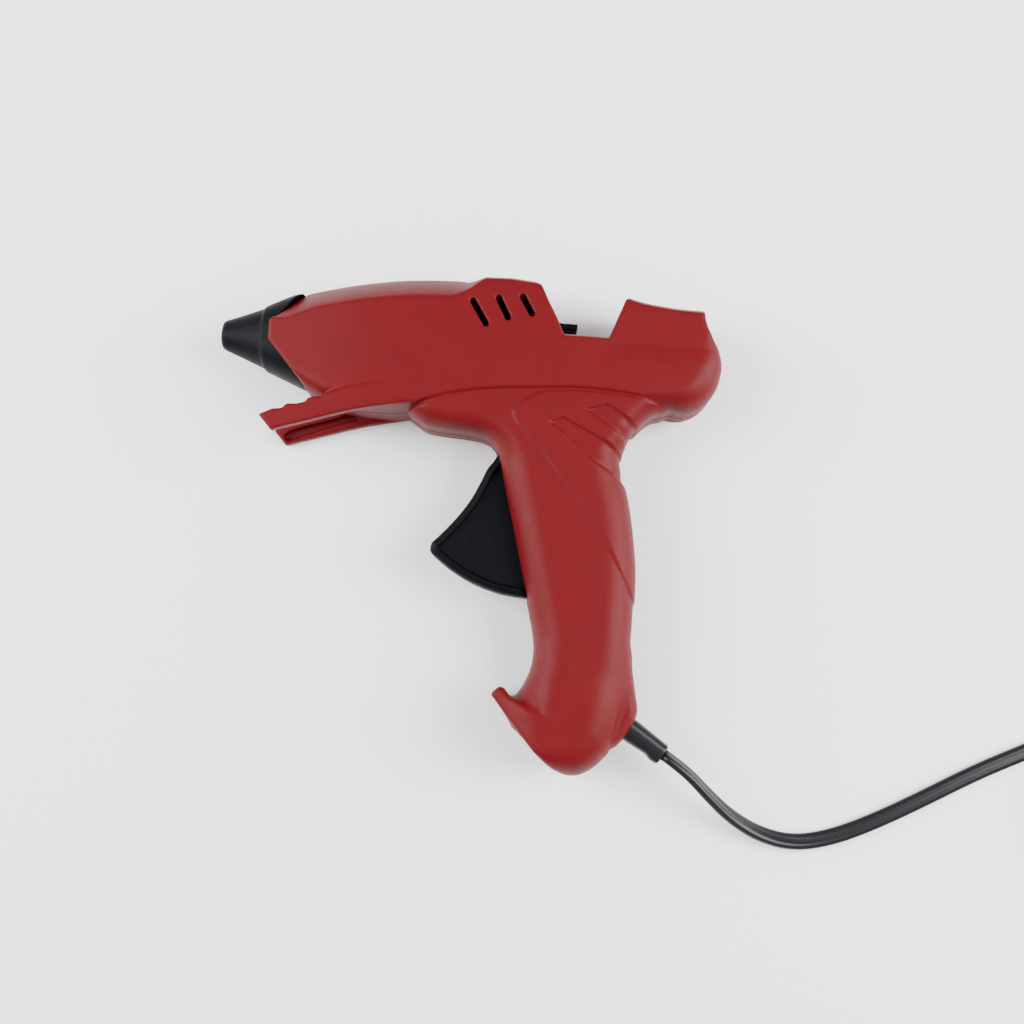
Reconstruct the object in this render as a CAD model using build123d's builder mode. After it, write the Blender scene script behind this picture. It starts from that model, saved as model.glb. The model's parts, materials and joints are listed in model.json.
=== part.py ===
"""Trigger-fed electric glue gun for 11 mm sticks, lying on its right side.

Millimetres.  X runs along the glue stick, from the nozzle (-X) to the inlet (+X).
+Y is the gun's top, and +Z its left side.  The right side rests on the plane Z = 0,
and the two housing halves part at Z = MID.
"""
from build123d import *
import os
from math import atan2, cos, degrees, pi, radians, sin, tan

os.makedirs("parts", exist_ok=True)

# ---------------------------------------------------------------- driving dimensions
HALF_W = 19.0           # half width of the gun over its upper body
MID = HALF_W            # height of the parting plane above the rest plane
AXIS_Y = 62.9           # height of the glue stick's axis
REAR_X = 95.25          # rear end of the housing, and the nozzle tip at -REAR_X
WALL = 2.4              # housing wall
GRIP_HALF_W = 17.0      # half width of the chin and the grip
BODY_ROUND = 6.0        # outer edge radius of the upper body
GRIP_ROUND = 4.0        # outer edge radius of the chin and the grip
FIN_T = 4.8             # thickness of one front fin
STICK_BORE_R = 6.0      # bore that the 11.2 mm stick passes through
GAP = 0.3               # usual gap between separate pieces

PIVOT = (28.0, 25.0)    # trigger pivot
TRIGGER_R = 54.6        # trigger's lower edge, concentric with the pivot
TRIGGER_HALF_W = 7.0    # half width of the trigger's finger part
TRIGGER_TURN = 22.0     # full pull, degrees
LEVER_L = 38.2          # pivot to the pins that push the carriage
LEVER_LEAN = 11.0       # lean of the lever behind upright at rest, degrees
LEVER_IN, LEVER_OUT = 8.0, 10.4   # the lever's two arms, measured from the middle
PIVOT_PIN_R = 2.0
RUN_CLEARANCE = 0.05    # radial clearance of a running fit

BODY_SCREWS = [(-44, 76), (68, 79.3)]
GRIP_SCREWS = [(-6, 37.6), (51, 14), (46, -40), (42, -80)]
SCREW_PLACES = BODY_SCREWS + GRIP_SCREWS
SCREW_R, HEAD_R = 1.35, 2.9

CORD_D = 6.0            # the flat twin cord's width
CORD_EXIT = Vector(69.1, -75.1, MID)     # where the strain relief leaves the housing
CORD_DIR = Vector(0.851, -0.525, 0).normalized()    # direction of the strain relief
RELIEF_OUT, RELIEF_IN = 15.5, 9.0        # its length outside and inside

MIDPLANE = Plane.XY.offset(MID)
# Underside of the bar that clamps the cord's end, square to the cord.
CLAMP_PLANE = Plane(origin=CORD_EXIT - CORD_DIR * (RELIEF_IN + 8) + Vector(0, 0, CORD_D / 2),
                    x_dir=(-CORD_DIR.Y, CORD_DIR.X, 0), z_dir=(0, 0, 1))
CLAMP_SCREWS = [(-5.6, 0), (5.6, 0)]
CLAMP_SCREW_R = 1.2
STICK_AXIS = Axis((0, AXIS_Y, MID), (1, 0, 0))


def save(part, name):
    """Label one finished piece and write it to its own STEP file."""
    part.label = name
    export_step(part, f"parts/{name}.step")


def across(x):
    """Plane square to the stick axis at x, with its origin on the axis."""
    return Plane(origin=(x, AXIS_Y, MID), x_dir=(0, 1, 0), z_dir=(1, 0, 0))


def turned_profile(points):
    """Closed line of (x, radius) points above the stick axis."""
    return [(x, AXIS_Y + r) for x, r in points]


# ---------------------------------------------------------------- housing outlines
# Upper body: barrel, hump, notch, tail wing and rear bulb, above the swoosh line.
with BuildLine() as upper_outline:
    Polyline((-62.0, 44.3), (-75.2, 57.5), (-75.4, 66.0), (-66.0, 80.3))
    Spline((-66.0, 80.3), (-48.2, 85.1), (-25.0, 88.9), (-1.5, 91.0))
    Polyline((-1.5, 91.0), (4.6, 93.1), (24.2, 92.5), (34.8, 73.0), (51.1, 72.0), (57.8, 88.9))
    ThreePointArc((57.8, 88.9), (71.5, 86.2), (87.6, 85.6))
    ThreePointArc((87.6, 85.6), (88.6, 75.8), (93.6, 67.7))
    ThreePointArc((93.6, 67.7), (95.2, 60.0), (87.0, 44.0))
    Spline((87.0, 44.0), (68.0, 47.0), (42.1, 48.6), (12.7, 46.5), (-9.1, 42.3), (-20.2, 38.5))
    Polyline((-20.2, 38.5), (-38.0, 38.6), (-55.3, 42.3), (-62.0, 44.3))

# Lower body: chin under the barrel, grip with its butt, and the bridge to the rear bulb.
with BuildLine() as lower_outline:
    Line((-22.0, 36.6), (-13.0, 31.6))
    Spline((-13.0, 31.6), (0.0, 30.5), (10.8, 27.4), (14.6, 18.0), (20.8, -4.1), (28.0, -30.0),
           (31.8, -47.7), (26.6, -66.0))
    Line((26.6, -66.0), (34.0, -84.4))
    ThreePointArc((34.0, -84.4), (49.2, -93.1), (62.0, -83.0))
    Line((62.0, -83.0), (66.9, -79.5))
    Spline((66.9, -79.5), (71.4, -68.5), (67.8, -50.0), (68.0, -34.0), (65.7, -4.7), (61.2, 14.8),
           (60.6, 29.2), (70.2, 41.7), (79.0, 44.5), (86.0, 48.0))
    Polyline((86.0, 48.0), (80.0, 56.0), (-10.0, 56.0), (-22.0, 36.6))

# Cheek of the butt, raised to the upper body's width so that the gun lies level.
CHEEK_POINTS = [(37.0, -54.0), (62.5, -54.0), (66.0, -68.0), (60.0, -78.5), (48.5, -87.0),
                (38.0, -80.0), (33.0, -69.0)]

# Hook at the butt's front, which the gun also stands on.
HOOK_POINTS = [(33.2, -84.2), (17.8, -66.0), (18.0, -63.9), (20.1, -62.8), (26.4, -66.2),
               (38.0, -63.0), (42.0, -81.0)]

# Front fin beside the barrel, with a gently stepped upper edge.
FIN_POINTS = [(-75.0, 30.3), (-69.7, 24.7), (-59.3, 27.9), (-37.5, 34.5), (-20.2, 38.6),
              (-20.2, 46.0), (-52.0, 46.0), (-53.7, 38.6), (-57.6, 36.3), (-63.6, 34.7),
              (-69.0, 32.4), (-73.3, 31.5)]

# Half width of the gun in plan, drawn in towards the nose.
PLAN_POINTS = [(-78.0, 15.6), (-60.0, 18.1), (-40.0, 18.8), (-20.0, HALF_W)]

# ---------------------------------------------------------------- housing, outer form
with BuildPart() as upper_form:
    with BuildSketch(MIDPLANE):
        with BuildLine():
            add(upper_outline.line)
        make_face()
    extrude(amount=HALF_W)
    fillet(upper_form.faces().sort_by(Axis.Z)[-1].edges(), BODY_ROUND)

with BuildPart() as lower_form:
    with BuildSketch(MIDPLANE):
        with BuildLine():
            add(lower_outline.line)
        make_face()
    extrude(amount=GRIP_HALF_W)
    fillet(lower_form.faces().sort_by(Axis.Z)[-1].edges(), GRIP_ROUND)

with BuildPart() as cheek_form:
    with BuildSketch(Plane.XY.offset(MID + GRIP_HALF_W - 2.0)):
        with BuildLine():
            Polyline(*CHEEK_POINTS, close=True)
        make_face()
    extrude(amount=HALF_W - GRIP_HALF_W + 2.0)
    fillet(cheek_form.edges().filter_by(Axis.Z), 5.0)
    fillet(cheek_form.faces().sort_by(Axis.Z)[-1].edges(), 1.8)

with BuildPart() as hook_form:
    with BuildSketch(MIDPLANE):
        with BuildLine():
            Polyline(*HOOK_POINTS, close=True)
        make_face()
    extrude(amount=12)
    fillet(hook_form.edges().filter_by(Axis.Z).sort_by(Axis.X)[:3], 1.0)
    fillet(hook_form.faces().sort_by(Axis.Z)[-1].edges(), 1.5)

with BuildPart() as fin_form:
    with BuildSketch(Plane.XY.offset(MID + HALF_W - FIN_T)):
        with BuildLine():
            Polyline(*FIN_POINTS, close=True)
        make_face()
    extrude(amount=FIN_T)
    # pocket in the inner face, inside a rim
    with BuildSketch(Plane.XY.offset(MID + HALF_W - FIN_T)):
        with BuildLine():
            Polyline((-72.5, 29.6), (-69.2, 26.6), (-42.5, 35.0), (-42.5, 37.2), (-52.5, 36.6),
                     (-63.0, 33.0), close=True)
        make_face()
    extrude(amount=2.6, mode=Mode.SUBTRACT)

with BuildPart() as plan_form:
    with BuildSketch(Plane.XZ.offset(-120)):
        with BuildLine():
            Polyline((-78.0, MID), *[(x, MID + w) for x, w in PLAN_POINTS], (100, MID + HALF_W),
                     (100, MID), close=True)
        make_face()
    extrude(amount=240)

# ---------------------------------------------------------------- housing, inside
# The cavity follows the outer form a wall's thickness inside it.
with BuildPart() as half_cavity:
    with BuildSketch(MIDPLANE):
        with BuildLine():
            Polyline((-60.8, 46.9), (-60.8, 79.2), (-48.0, 82.6), (-25.0, 86.4), (-1.0, 88.5),
                     (5.0, 90.6), (22.7, 90.1), (33.2, 70.5), (52.7, 69.6), (59.3, 86.1),
                     (71.5, 83.8), (84.9, 83.3), (85.4, 77.5), (79.4, 75.6), (79.4, 47.8),
                     (64.0, 49.0), (-8.0, 47.0), (-22.0, 41.0), (-38.0, 41.1), (-55.0, 44.8),
                     close=True)
        make_face()
    extrude(amount=HALF_W - WALL)
    with BuildSketch(MIDPLANE):
        with BuildLine():
            Polyline((-19.5, 38.3), (-13.0, 34.0), (3.0, 32.7), (11.4, 30.2), (15.6, 24.0),
                     (23.2, -4.1), (30.4, -30.0), (34.4, -48.0), (33.4, -60.0), (30.6, -70.0),
                     (36.6, -82.4), (44.0, -89.2), (53.0, -89.8), (60.4, -82.2), (65.0, -77.6),
                     (68.4, -68.0), (64.9, -52.0), (65.7, -38.4), (63.3, -4.7), (57.8, 17.8),
                     (57.8, 30.0), (66.0, 42.0), (74.0, 45.4), (72.0, 52.0), (-8.0, 50.0),
                     close=True)
        make_face()
    extrude(amount=GRIP_HALF_W - WALL)

# Openings that both halves share, cut on the parting plane.
SLOT_HALF_W = TRIGGER_HALF_W + 0.4
with BuildPart() as shared_openings:
    # mouth that takes the nozzle sleeve
    with BuildSketch(across(-80)):
        Circle(13.7)
    extrude(amount=19.4)
    # rear seat of the guide ring, and the inlet behind it
    with BuildSketch(across(79)):
        Circle(9.6)
    extrude(amount=12.6)
    with BuildSketch(across(91)):
        Circle(STICK_BORE_R + 0.6)
    extrude(amount=10)
    # slot for the trigger in the grip's front wall
    with BuildSketch(Plane.XY.offset(MID - SLOT_HALF_W)):
        with BuildLine():
            Polyline((5.0, 24.6), (20.0, 24.6), (36.0, -30.2), (5.0, -30.2), close=True)
        make_face()
    extrude(amount=2 * SLOT_HALF_W)
    # window for the switch slide in the hump's rear wall
    with BuildSketch(Plane.XY.offset(MID - 5.4)):
        with BuildLine():
            Polyline((29.0, 73.1), (29.0, 76.2), (40.0, 76.2), (40.0, 73.1), close=True)
        make_face()
    extrude(amount=10.8)
    # round hole for the strain relief
    with BuildSketch(Plane(origin=CORD_EXIT - CORD_DIR * 7, z_dir=CORD_DIR)):
        Circle(4.7)
    extrude(amount=14)

VENTS = [((0.4, 78.5), (5.8, 70.1)), ((9.9, 80.3), (13.8, 73.0)), ((18.8, 81.4), (22.6, 75.1))]
VENT_W = 2.6
with BuildPart() as vent_slots:
    for top, bottom in VENTS:
        run = Vector(*bottom) - Vector(*top)
        with BuildSketch(Plane.XY.offset(MID + 13)):
            with Locations((Vector(*top) + Vector(*bottom)) / 2):
                SlotCenterToCenter(run.length, VENT_W, rotation=degrees(atan2(run.Y, run.X)))
        extrude(amount=8)

# ---------------------------------------------------------------- housing, ribs and bosses
RIB_T = 1.4
RIB_IN = 10.6                       # ribs start this far from the parting plane
CHAMBER_RIBS = [-57.4, -34.2, -29.2]    # front faces of the ribs that locate the saddles
RAIL_TOP = 54.5                     # upper face of the carriage's rail
with BuildPart() as half_ribs:
    for x in CHAMBER_RIBS:
        with BuildSketch(Plane.YZ.offset(x)):
            with Locations((65.0, MID + (RIB_IN + HALF_W - 1.2) / 2)):
                Rectangle(24.0, HALF_W - 1.2 - RIB_IN)
        extrude(amount=RIB_T)
    # rail under the carriage, tied to the flank by two webs
    with BuildSketch(MIDPLANE):
        with Locations((27.0, RAIL_TOP - 1.5)):
            Rectangle(66.0, 3.0)
    extrude(amount=5.0)
    with BuildSketch(MIDPLANE):
        with Locations((8.0, RAIL_TOP - 1.5), (52.0, RAIL_TOP - 1.5)):
            Rectangle(4.0, 3.0)
    extrude(amount=HALF_W - 1.2)
    # shelf that carries the switch
    with BuildSketch(MIDPLANE):
        with Locations((9.0, 79.3)):
            Rectangle(10.0, 1.4)
    extrude(amount=HALF_W - 1.2)
    # boss round each end of the trigger's pivot pin
    with BuildSketch(Plane.XY.offset(MID + LEVER_OUT + GAP)):
        with Locations(PIVOT):
            Circle(4.6)
            Circle(PIVOT_PIN_R, mode=Mode.SUBTRACT)
    extrude(amount=GRIP_HALF_W - 1.2 - LEVER_OUT - GAP)

BOSS_R = 3.2
with BuildPart() as half_bosses:
    with BuildSketch(MIDPLANE):
        with Locations(*BODY_SCREWS):
            Circle(BOSS_R)
    extrude(amount=HALF_W - 1.2)
    with BuildSketch(MIDPLANE):
        with Locations(*GRIP_SCREWS):
            Circle(BOSS_R)
    extrude(amount=GRIP_HALF_W - 1.2)

# ---------------------------------------------------------------- left housing half
with BuildPart() as left_housing:
    add(upper_form.part)
    add(plan_form.part, mode=Mode.INTERSECT)
    add(lower_form.part)
    add(cheek_form.part)
    add(hook_form.part)
    add(fin_form.part)
    add(half_cavity.part, mode=Mode.SUBTRACT)
    add(half_ribs.part)
    add(half_bosses.part)
    add(shared_openings.part, mode=Mode.SUBTRACT)
    add(vent_slots.part, mode=Mode.SUBTRACT)
    # pilot holes for the screws
    with BuildSketch(MIDPLANE):
        with Locations(*SCREW_PLACES):
            Circle(SCREW_R)
    extrude(amount=10.0, mode=Mode.SUBTRACT)
    # post that holds the return spring's rear end
    with BuildSketch(Plane.XY.offset(MID + 10.9)):
        with Locations((60.0, 58.5)):
            Circle(1.5)
    extrude(amount=HALF_W - 1.2 - 10.9)
save(left_housing.part, "left_housing")

# ---------------------------------------------------------------- right housing half
HEAD_Z = 7.0                        # height of the screw heads' outer faces
with BuildPart() as right_housing:
    add(upper_form.part)
    add(plan_form.part, mode=Mode.INTERSECT)
    add(lower_form.part)
    add(cheek_form.part)
    add(hook_form.part)
    add(fin_form.part)
    add(half_cavity.part, mode=Mode.SUBTRACT)
    add(half_ribs.part)
    add(half_bosses.part)
    add(vent_slots.part, mode=Mode.SUBTRACT)
    mirror(about=MIDPLANE, mode=Mode.REPLACE)
    add(shared_openings.part, mode=Mode.SUBTRACT)
    # clearance holes, and counterbores from outside
    with BuildSketch(Plane.XY.offset(-1)):
        with Locations(*SCREW_PLACES):
            Circle(SCREW_R + 0.25)
    extrude(amount=MID + 2, mode=Mode.SUBTRACT)
    with BuildSketch(Plane.XY.offset(-1)):
        with Locations(*SCREW_PLACES):
            Circle(HEAD_R + 0.25)
    extrude(amount=1 + HEAD_Z + 2, mode=Mode.SUBTRACT)
    # posts for the cord clamp
    with BuildSketch(CLAMP_PLANE.offset(-CORD_D - 0.2)):
        with Locations(*CLAMP_SCREWS):
            Circle(2.5)
            Circle(CLAMP_SCREW_R, mode=Mode.SUBTRACT)
    extrude(amount=-(MID - CORD_D / 2 - 0.2 - 3.2))
save(right_housing.part, "right_housing")

with BuildPart() as housing_screws:
    with BuildSketch(Plane.XY.offset(HEAD_Z)):
        with Locations(*SCREW_PLACES):
            Circle(HEAD_R)
            RegularPolygon(1.2, 6, mode=Mode.SUBTRACT)
    extrude(amount=2.0)
    with BuildSketch(Plane.XY.offset(HEAD_Z + 1.0)):
        with Locations(*SCREW_PLACES):
            Circle(SCREW_R)
    extrude(amount=20.0)
save(housing_screws.part, "housing_screws")

# ---------------------------------------------------------------- nozzle end
# The shell's tongues lie over the sleeve, which is cut back under them.
with BuildPart() as sleeve_rabbet:
    with BuildSketch(Plane.XY.offset(-2)):
        with BuildLine():
            Polyline((-61.0, 42.5), (-75.6, 57.3), (-75.8, 66.3), (-66.3, 80.7), (-60.0, 86.0),
                     close=True)
        make_face()
    extrude(amount=2 * MID + 4)
    with BuildSketch(across(-80)):
        Circle(13.4)
    extrude(amount=24, mode=Mode.SUBTRACT)

with BuildPart() as nozzle_sleeve:
    with BuildSketch(MIDPLANE):
        with BuildLine():
            Polyline(*turned_profile([(-REAR_X, 3.0), (-REAR_X, 5.2), (-94.4, 6.2), (-79.6, 11.3),
                                      (-78.6, 12.1), (-62.6, 18.7), (-61.2, 13.4), (-61.2, 9.8),
                                      (-78.4, 9.0), (-93.6, 3.0)]), close=True)
        make_face()
    revolve(axis=STICK_AXIS)
    add(sleeve_rabbet.part, mode=Mode.SUBTRACT)
save(nozzle_sleeve.part, "nozzle_sleeve")

with BuildPart() as brass_nozzle:
    with BuildSketch(MIDPLANE):
        with BuildLine():
            Polyline(*turned_profile([(-94.9, 1.0), (-94.9, 2.4), (-93.4, 2.7), (-81.0, 5.4),
                                      (-76.0, 5.4), (-76.0, 5.0), (-70.4, 5.0), (-70.4, 2.3),
                                      (-84.5, 2.3), (-86.4, 1.0)]), close=True)
        make_face()
    revolve(axis=STICK_AXIS)
    with BuildSketch(across(-80.6)):
        RegularPolygon(6.35, 6)
        Circle(4.0, mode=Mode.SUBTRACT)
    extrude(amount=4.6)
save(brass_nozzle.part, "brass_nozzle")

with BuildPart() as check_ball:
    with Locations((-82.9, AXIS_Y, MID)):
        Sphere(1.6)
save(check_ball.part, "check_ball")


def coil_spring(start, direction, radius, wire_r, pitch, length):
    """Closed helix of round wire that runs from start along direction."""
    with BuildPart() as spring:
        with BuildLine() as path:
            Helix(pitch, length, radius, center=start, direction=direction)
        with BuildSketch(Plane(origin=path.line @ 0, z_dir=path.line % 0)):
            Circle(wire_r)
        sweep()
    return spring.part


save(coil_spring((-80.9, AXIS_Y, MID), (1, 0, 0), 1.6, 0.3, 1.8, 9.0), "check_spring")

# ---------------------------------------------------------------- melt chamber
CHAMBER_R, CHAMBER_BORE_R = 8.8, 5.9
SPIGOT_R = 7.2
HEATER_TOP = AXIS_Y - 11.4          # upper face of the heater
HEATER_T = 3.8
with BuildPart() as melt_chamber:
    with BuildSketch(MIDPLANE):
        with BuildLine():
            Polyline(*turned_profile([(-75.8, 5.0), (-75.8, 7.6), (-72.0, 7.6), (-72.0, CHAMBER_R),
                                      (-27.0, CHAMBER_R), (-27.0, SPIGOT_R), (-19.0, SPIGOT_R),
                                      (-19.0, CHAMBER_BORE_R), (-58.0, CHAMBER_BORE_R),
                                      (-68.0, 3.2), (-70.4, 3.2), (-70.4, 5.0)]), close=True)
        make_face()
    revolve(axis=STICK_AXIS)
    # heater pocket cast under the tube
    with BuildSketch(Plane.YZ.offset(-54)):
        with Locations((AXIS_Y - 12.4, MID)):
            Rectangle(9.4, 16.4)
        with Locations((AXIS_Y, MID)):
            Circle(CHAMBER_R - 0.5, mode=Mode.SUBTRACT)
        with Locations((HEATER_TOP - 2.3, MID)):
            Rectangle(4.6, 12.4, mode=Mode.SUBTRACT)
    extrude(amount=19)
save(melt_chamber.part, "melt_chamber")

with BuildPart() as ptc_heater:
    with BuildSketch(Plane.YZ.offset(-53)):
        with Locations((HEATER_TOP - HEATER_T / 2 - 0.1, MID)):
            Rectangle(HEATER_T, 12.0)
    extrude(amount=19)
    fillet(ptc_heater.edges().filter_by(Axis.X), 0.6)
save(ptc_heater.part, "ptc_heater")

with BuildPart() as heater_clip:
    with BuildSketch(Plane.YZ.offset(-52)):
        with Locations((HEATER_TOP - HEATER_T - 0.4, MID)):
            Rectangle(0.6, 11.0)
    extrude(amount=16)
save(heater_clip.part, "heater_clip")


SADDLE_TOP, SADDLE_W = 76.4, 27.4


def saddle(x, low_y):
    """Heat-resistant plate that holds the chamber clear of the housing."""
    with BuildPart() as plate:
        with BuildSketch(Plane.YZ.offset(x)):
            with Locations(((low_y + SADDLE_TOP) / 2, MID)):
                Rectangle(SADDLE_TOP - low_y, SADDLE_W)
            with Locations((AXIS_Y, MID)):
                Circle(CHAMBER_R + 0.1, mode=Mode.SUBTRACT)
        extrude(amount=2.8)
        fillet(plate.edges().filter_by(Axis.X).group_by(Axis.Y)[-1], 6.0)
    return plate.part


save(saddle(-60.5, 50.0), "front_saddle")
save(saddle(-32.3, 52.6), "rear_saddle")

CUFF_R = 9.0
with BuildPart() as inlet_cuff:
    with BuildSketch(MIDPLANE):
        with BuildLine():
            Polyline(*turned_profile([(-26.6, SPIGOT_R), (-26.6, CUFF_R), (-10.0, CUFF_R - 0.6),
                                      (-8.0, CUFF_R + 0.4), (-7.0, CUFF_R + 0.4), (-7.0, 7.8),
                                      (-11.0, STICK_BORE_R - 0.1), (-18.8, STICK_BORE_R - 0.1),
                                      (-18.8, SPIGOT_R)]), close=True)
        make_face()
    revolve(axis=STICK_AXIS)
save(inlet_cuff.part, "inlet_cuff")

# Wire clip that grips the cuff on the spigot, with its two finger tabs.
with BuildPart() as cuff_clip:
    with BuildSketch(across(-23.6)):
        Circle(CUFF_R + 1.1)
        Circle(CUFF_R + 0.05, mode=Mode.SUBTRACT)
    extrude(amount=1.6)
    for side in (1, -1):
        with BuildSketch(Plane.YZ.offset(-23.6)):
            with Locations(Pos(AXIS_Y + 11.6, MID + 1.5 * side)):
                Rectangle(4.0, 1.2)
        extrude(amount=1.6)
save(cuff_clip.part, "cuff_clip")

with BuildPart() as rear_guide_ring:
    with BuildSketch(across(79.6)):
        Circle(9.5)
        Circle(STICK_BORE_R, mode=Mode.SUBTRACT)
    extrude(amount=11.6)
save(rear_guide_ring.part, "rear_guide_ring")

# ---------------------------------------------------------------- feed carriage
PIN_LEAN = radians(LEVER_LEAN)
LEVER_TOP = (PIVOT[0] + LEVER_L * sin(PIN_LEAN), PIVOT[1] + LEVER_L * cos(PIN_LEAN))
CARRIAGE_X = (12.0, 44.0)
CARRIAGE_HALF_W = 7.6
CARRIAGE_Y = (RAIL_TOP + 0.2, AXIS_Y + 6.7)
JAW_PIN = (16.0, 74.0)
JAW_PIN_R = 1.25
LUG_Z = 13.0                        # the return spring's distance from the middle
with BuildPart() as feed_carriage:
    with BuildSketch(Plane.XY.offset(MID - CARRIAGE_HALF_W)):
        with Locations(((CARRIAGE_X[0] + CARRIAGE_X[1]) / 2, (CARRIAGE_Y[0] + CARRIAGE_Y[1]) / 2)):
            Rectangle(CARRIAGE_X[1] - CARRIAGE_X[0], CARRIAGE_Y[1] - CARRIAGE_Y[0])
    extrude(amount=2 * CARRIAGE_HALF_W)
    fillet(feed_carriage.edges().filter_by(Axis.X), 1.5)
    # ears for the clamp jaw
    with BuildSketch(Plane.XY.offset(MID - 5.2)):
        with BuildLine():
            Polyline((12.4, 68.6), (19.6, 68.6), (19.6, 74.0), (17.8, 77.2), (14.2, 77.2),
                     (12.4, 74.0), close=True)
        make_face()
    extrude(amount=10.4)
    # gap between the ears, and the jaw's way down to the stick
    with BuildSketch(Plane.XY.offset(MID - 3.0)):
        with Locations((16.5, 73.6)):
            Rectangle(9.6, 12.0)
    extrude(amount=6.0, mode=Mode.SUBTRACT)
    with BuildSketch(Plane.XY.offset(MID - 6)):
        with Locations(JAW_PIN):
            Circle(JAW_PIN_R)
    extrude(amount=12, mode=Mode.SUBTRACT)
    with BuildSketch(across(CARRIAGE_X[0] - 1)):
        Circle(STICK_BORE_R + 0.1)
    extrude(amount=34, mode=Mode.SUBTRACT)
    # upright slots for the lever's pins
    with BuildSketch(Plane.XY.offset(MID - 9)):
        with Locations((LEVER_TOP[0], (LEVER_TOP[1] + PIVOT[1] + LEVER_L) / 2)):
            Rectangle(3.2, 4.4)
    extrude(amount=18, mode=Mode.SUBTRACT)
    # lug for the return spring
    with BuildSketch(Plane.XY.offset(MID + CARRIAGE_HALF_W - 0.4)):
        with Locations((14.0, 58.5)):
            Rectangle(3.0, 4.0)
    extrude(amount=7.6)
save(feed_carriage.part, "feed_carriage")

# The jaw tips its toothed edge into the stick.
with BuildPart() as clamp_jaw:
    with BuildSketch(Plane.XY.offset(MID - 2.7)):
        with BuildLine():
            Polyline((13.9, 76.0), (13.6, 71.4), (12.3, 69.9), (12.9, 69.2), (13.8, 69.9),
                     (14.4, 69.2), (15.3, 69.9), (16.0, 69.3), (17.4, 71.0), (19.4, 71.6),
                     (19.4, 73.0), (18.4, 75.0), (17.0, 76.4), close=True)
        make_face()
        with Locations(JAW_PIN):
            Circle(JAW_PIN_R + RUN_CLEARANCE, mode=Mode.SUBTRACT)
    extrude(amount=5.4)
save(clamp_jaw.part, "clamp_jaw")

with BuildPart() as jaw_pin:
    with BuildSketch(Plane.XY.offset(MID - 5.6)):
        with Locations(JAW_PIN):
            Circle(JAW_PIN_R)
    extrude(amount=11.2)
save(jaw_pin.part, "jaw_pin")

# ---------------------------------------------------------------- trigger
REAR_ANGLE = radians(13.0)          # rear edge of the finger part, from straight down
with BuildPart() as trigger:
    with BuildSketch(Plane.XY.offset(MID - TRIGGER_HALF_W)):
        with BuildLine():
            Spline((13.4, 23.4), (9.8, 18.1), (4.3, 5.2), (-5.9, -8.4))
            ThreePointArc((-5.9, -8.4), (-9.2, -12.2), (-7.3, -16.5))
            ThreePointArc((-7.3, -16.5), (7.5, -25.6), (28.0, PIVOT[1] - TRIGGER_R))
            ThreePointArc((28.0, PIVOT[1] - TRIGGER_R),
                          (PIVOT[0] + TRIGGER_R * sin(REAR_ANGLE / 2),
                           PIVOT[1] - TRIGGER_R * cos(REAR_ANGLE / 2)),
                          (PIVOT[0] + TRIGGER_R * sin(REAR_ANGLE),
                           PIVOT[1] - TRIGGER_R * cos(REAR_ANGLE)))
            Polyline((PIVOT[0] + TRIGGER_R * sin(REAR_ANGLE),
                      PIVOT[1] - TRIGGER_R * cos(REAR_ANGLE)),
                     (33.0, 21.0), (32.0, 29.5), (24.0, 30.4), (13.4, 23.4))
        make_face()
    extrude(amount=2 * TRIGGER_HALF_W)
    fillet(trigger.edges().filter_by(GeomType.BSPLINE), 2.0)
    # hollow of the web, on both sides
    for z in (MID - TRIGGER_HALF_W, MID + TRIGGER_HALF_W - 2.0):
        with BuildSketch(Plane.XY.offset(z)):
            with BuildLine():
                Polyline((16.5, 19.5), (8.6, 4.0), (-2.6, -11.0), (-4.4, -13.6), (2.0, -19.2),
                         (14.0, -24.6), (27.0, -26.6), (36.4, -25.4), (29.4, 17.0), close=True)
            make_face()
        extrude(amount=2.0, mode=Mode.SUBTRACT)
    with BuildSketch(Plane.XY.offset(MID - LEVER_OUT)):
        with Locations(PIVOT):
            Circle(5.6)
    extrude(amount=2 * LEVER_OUT)
    # the lever's two arms, and the pins that stand in from their tops
    for side in (1, -1):
        plane = Plane.XY.offset(MID + (LEVER_IN if side > 0 else -LEVER_OUT))
        with BuildSketch(plane):
            with BuildLine():
                Polyline((23.2, 26.0), (LEVER_TOP[0] - 3.2, LEVER_TOP[1]),
                         (LEVER_TOP[0] + 3.2, LEVER_TOP[1]), (32.8, 26.0), close=True)
            make_face()
            with Locations(LEVER_TOP):
                Circle(3.2)
        extrude(amount=LEVER_OUT - LEVER_IN)
        with BuildSketch(Plane.XY.offset(MID + (6.4 if side > 0 else -LEVER_IN - 0.5))):
            with Locations(LEVER_TOP):
                Circle(1.5)
        extrude(amount=LEVER_IN + 0.5 - 6.4)
    with BuildSketch(Plane.XY.offset(MID - 12)):
        with Locations(PIVOT):
            Circle(PIVOT_PIN_R + RUN_CLEARANCE)
    extrude(amount=24, mode=Mode.SUBTRACT)
save(trigger.part, "trigger")

with BuildPart() as trigger_pin:
    with BuildSketch(Plane.XY.offset(MID - 14.4)):
        with Locations(PIVOT):
            Circle(PIVOT_PIN_R)
    extrude(amount=28.8)
save(trigger_pin.part, "trigger_pin")

save(coil_spring((15.9, 58.5, MID + LUG_Z), (1, 0, 0), 1.5, 0.35, 1.9, 42.2), "return_spring")

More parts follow.
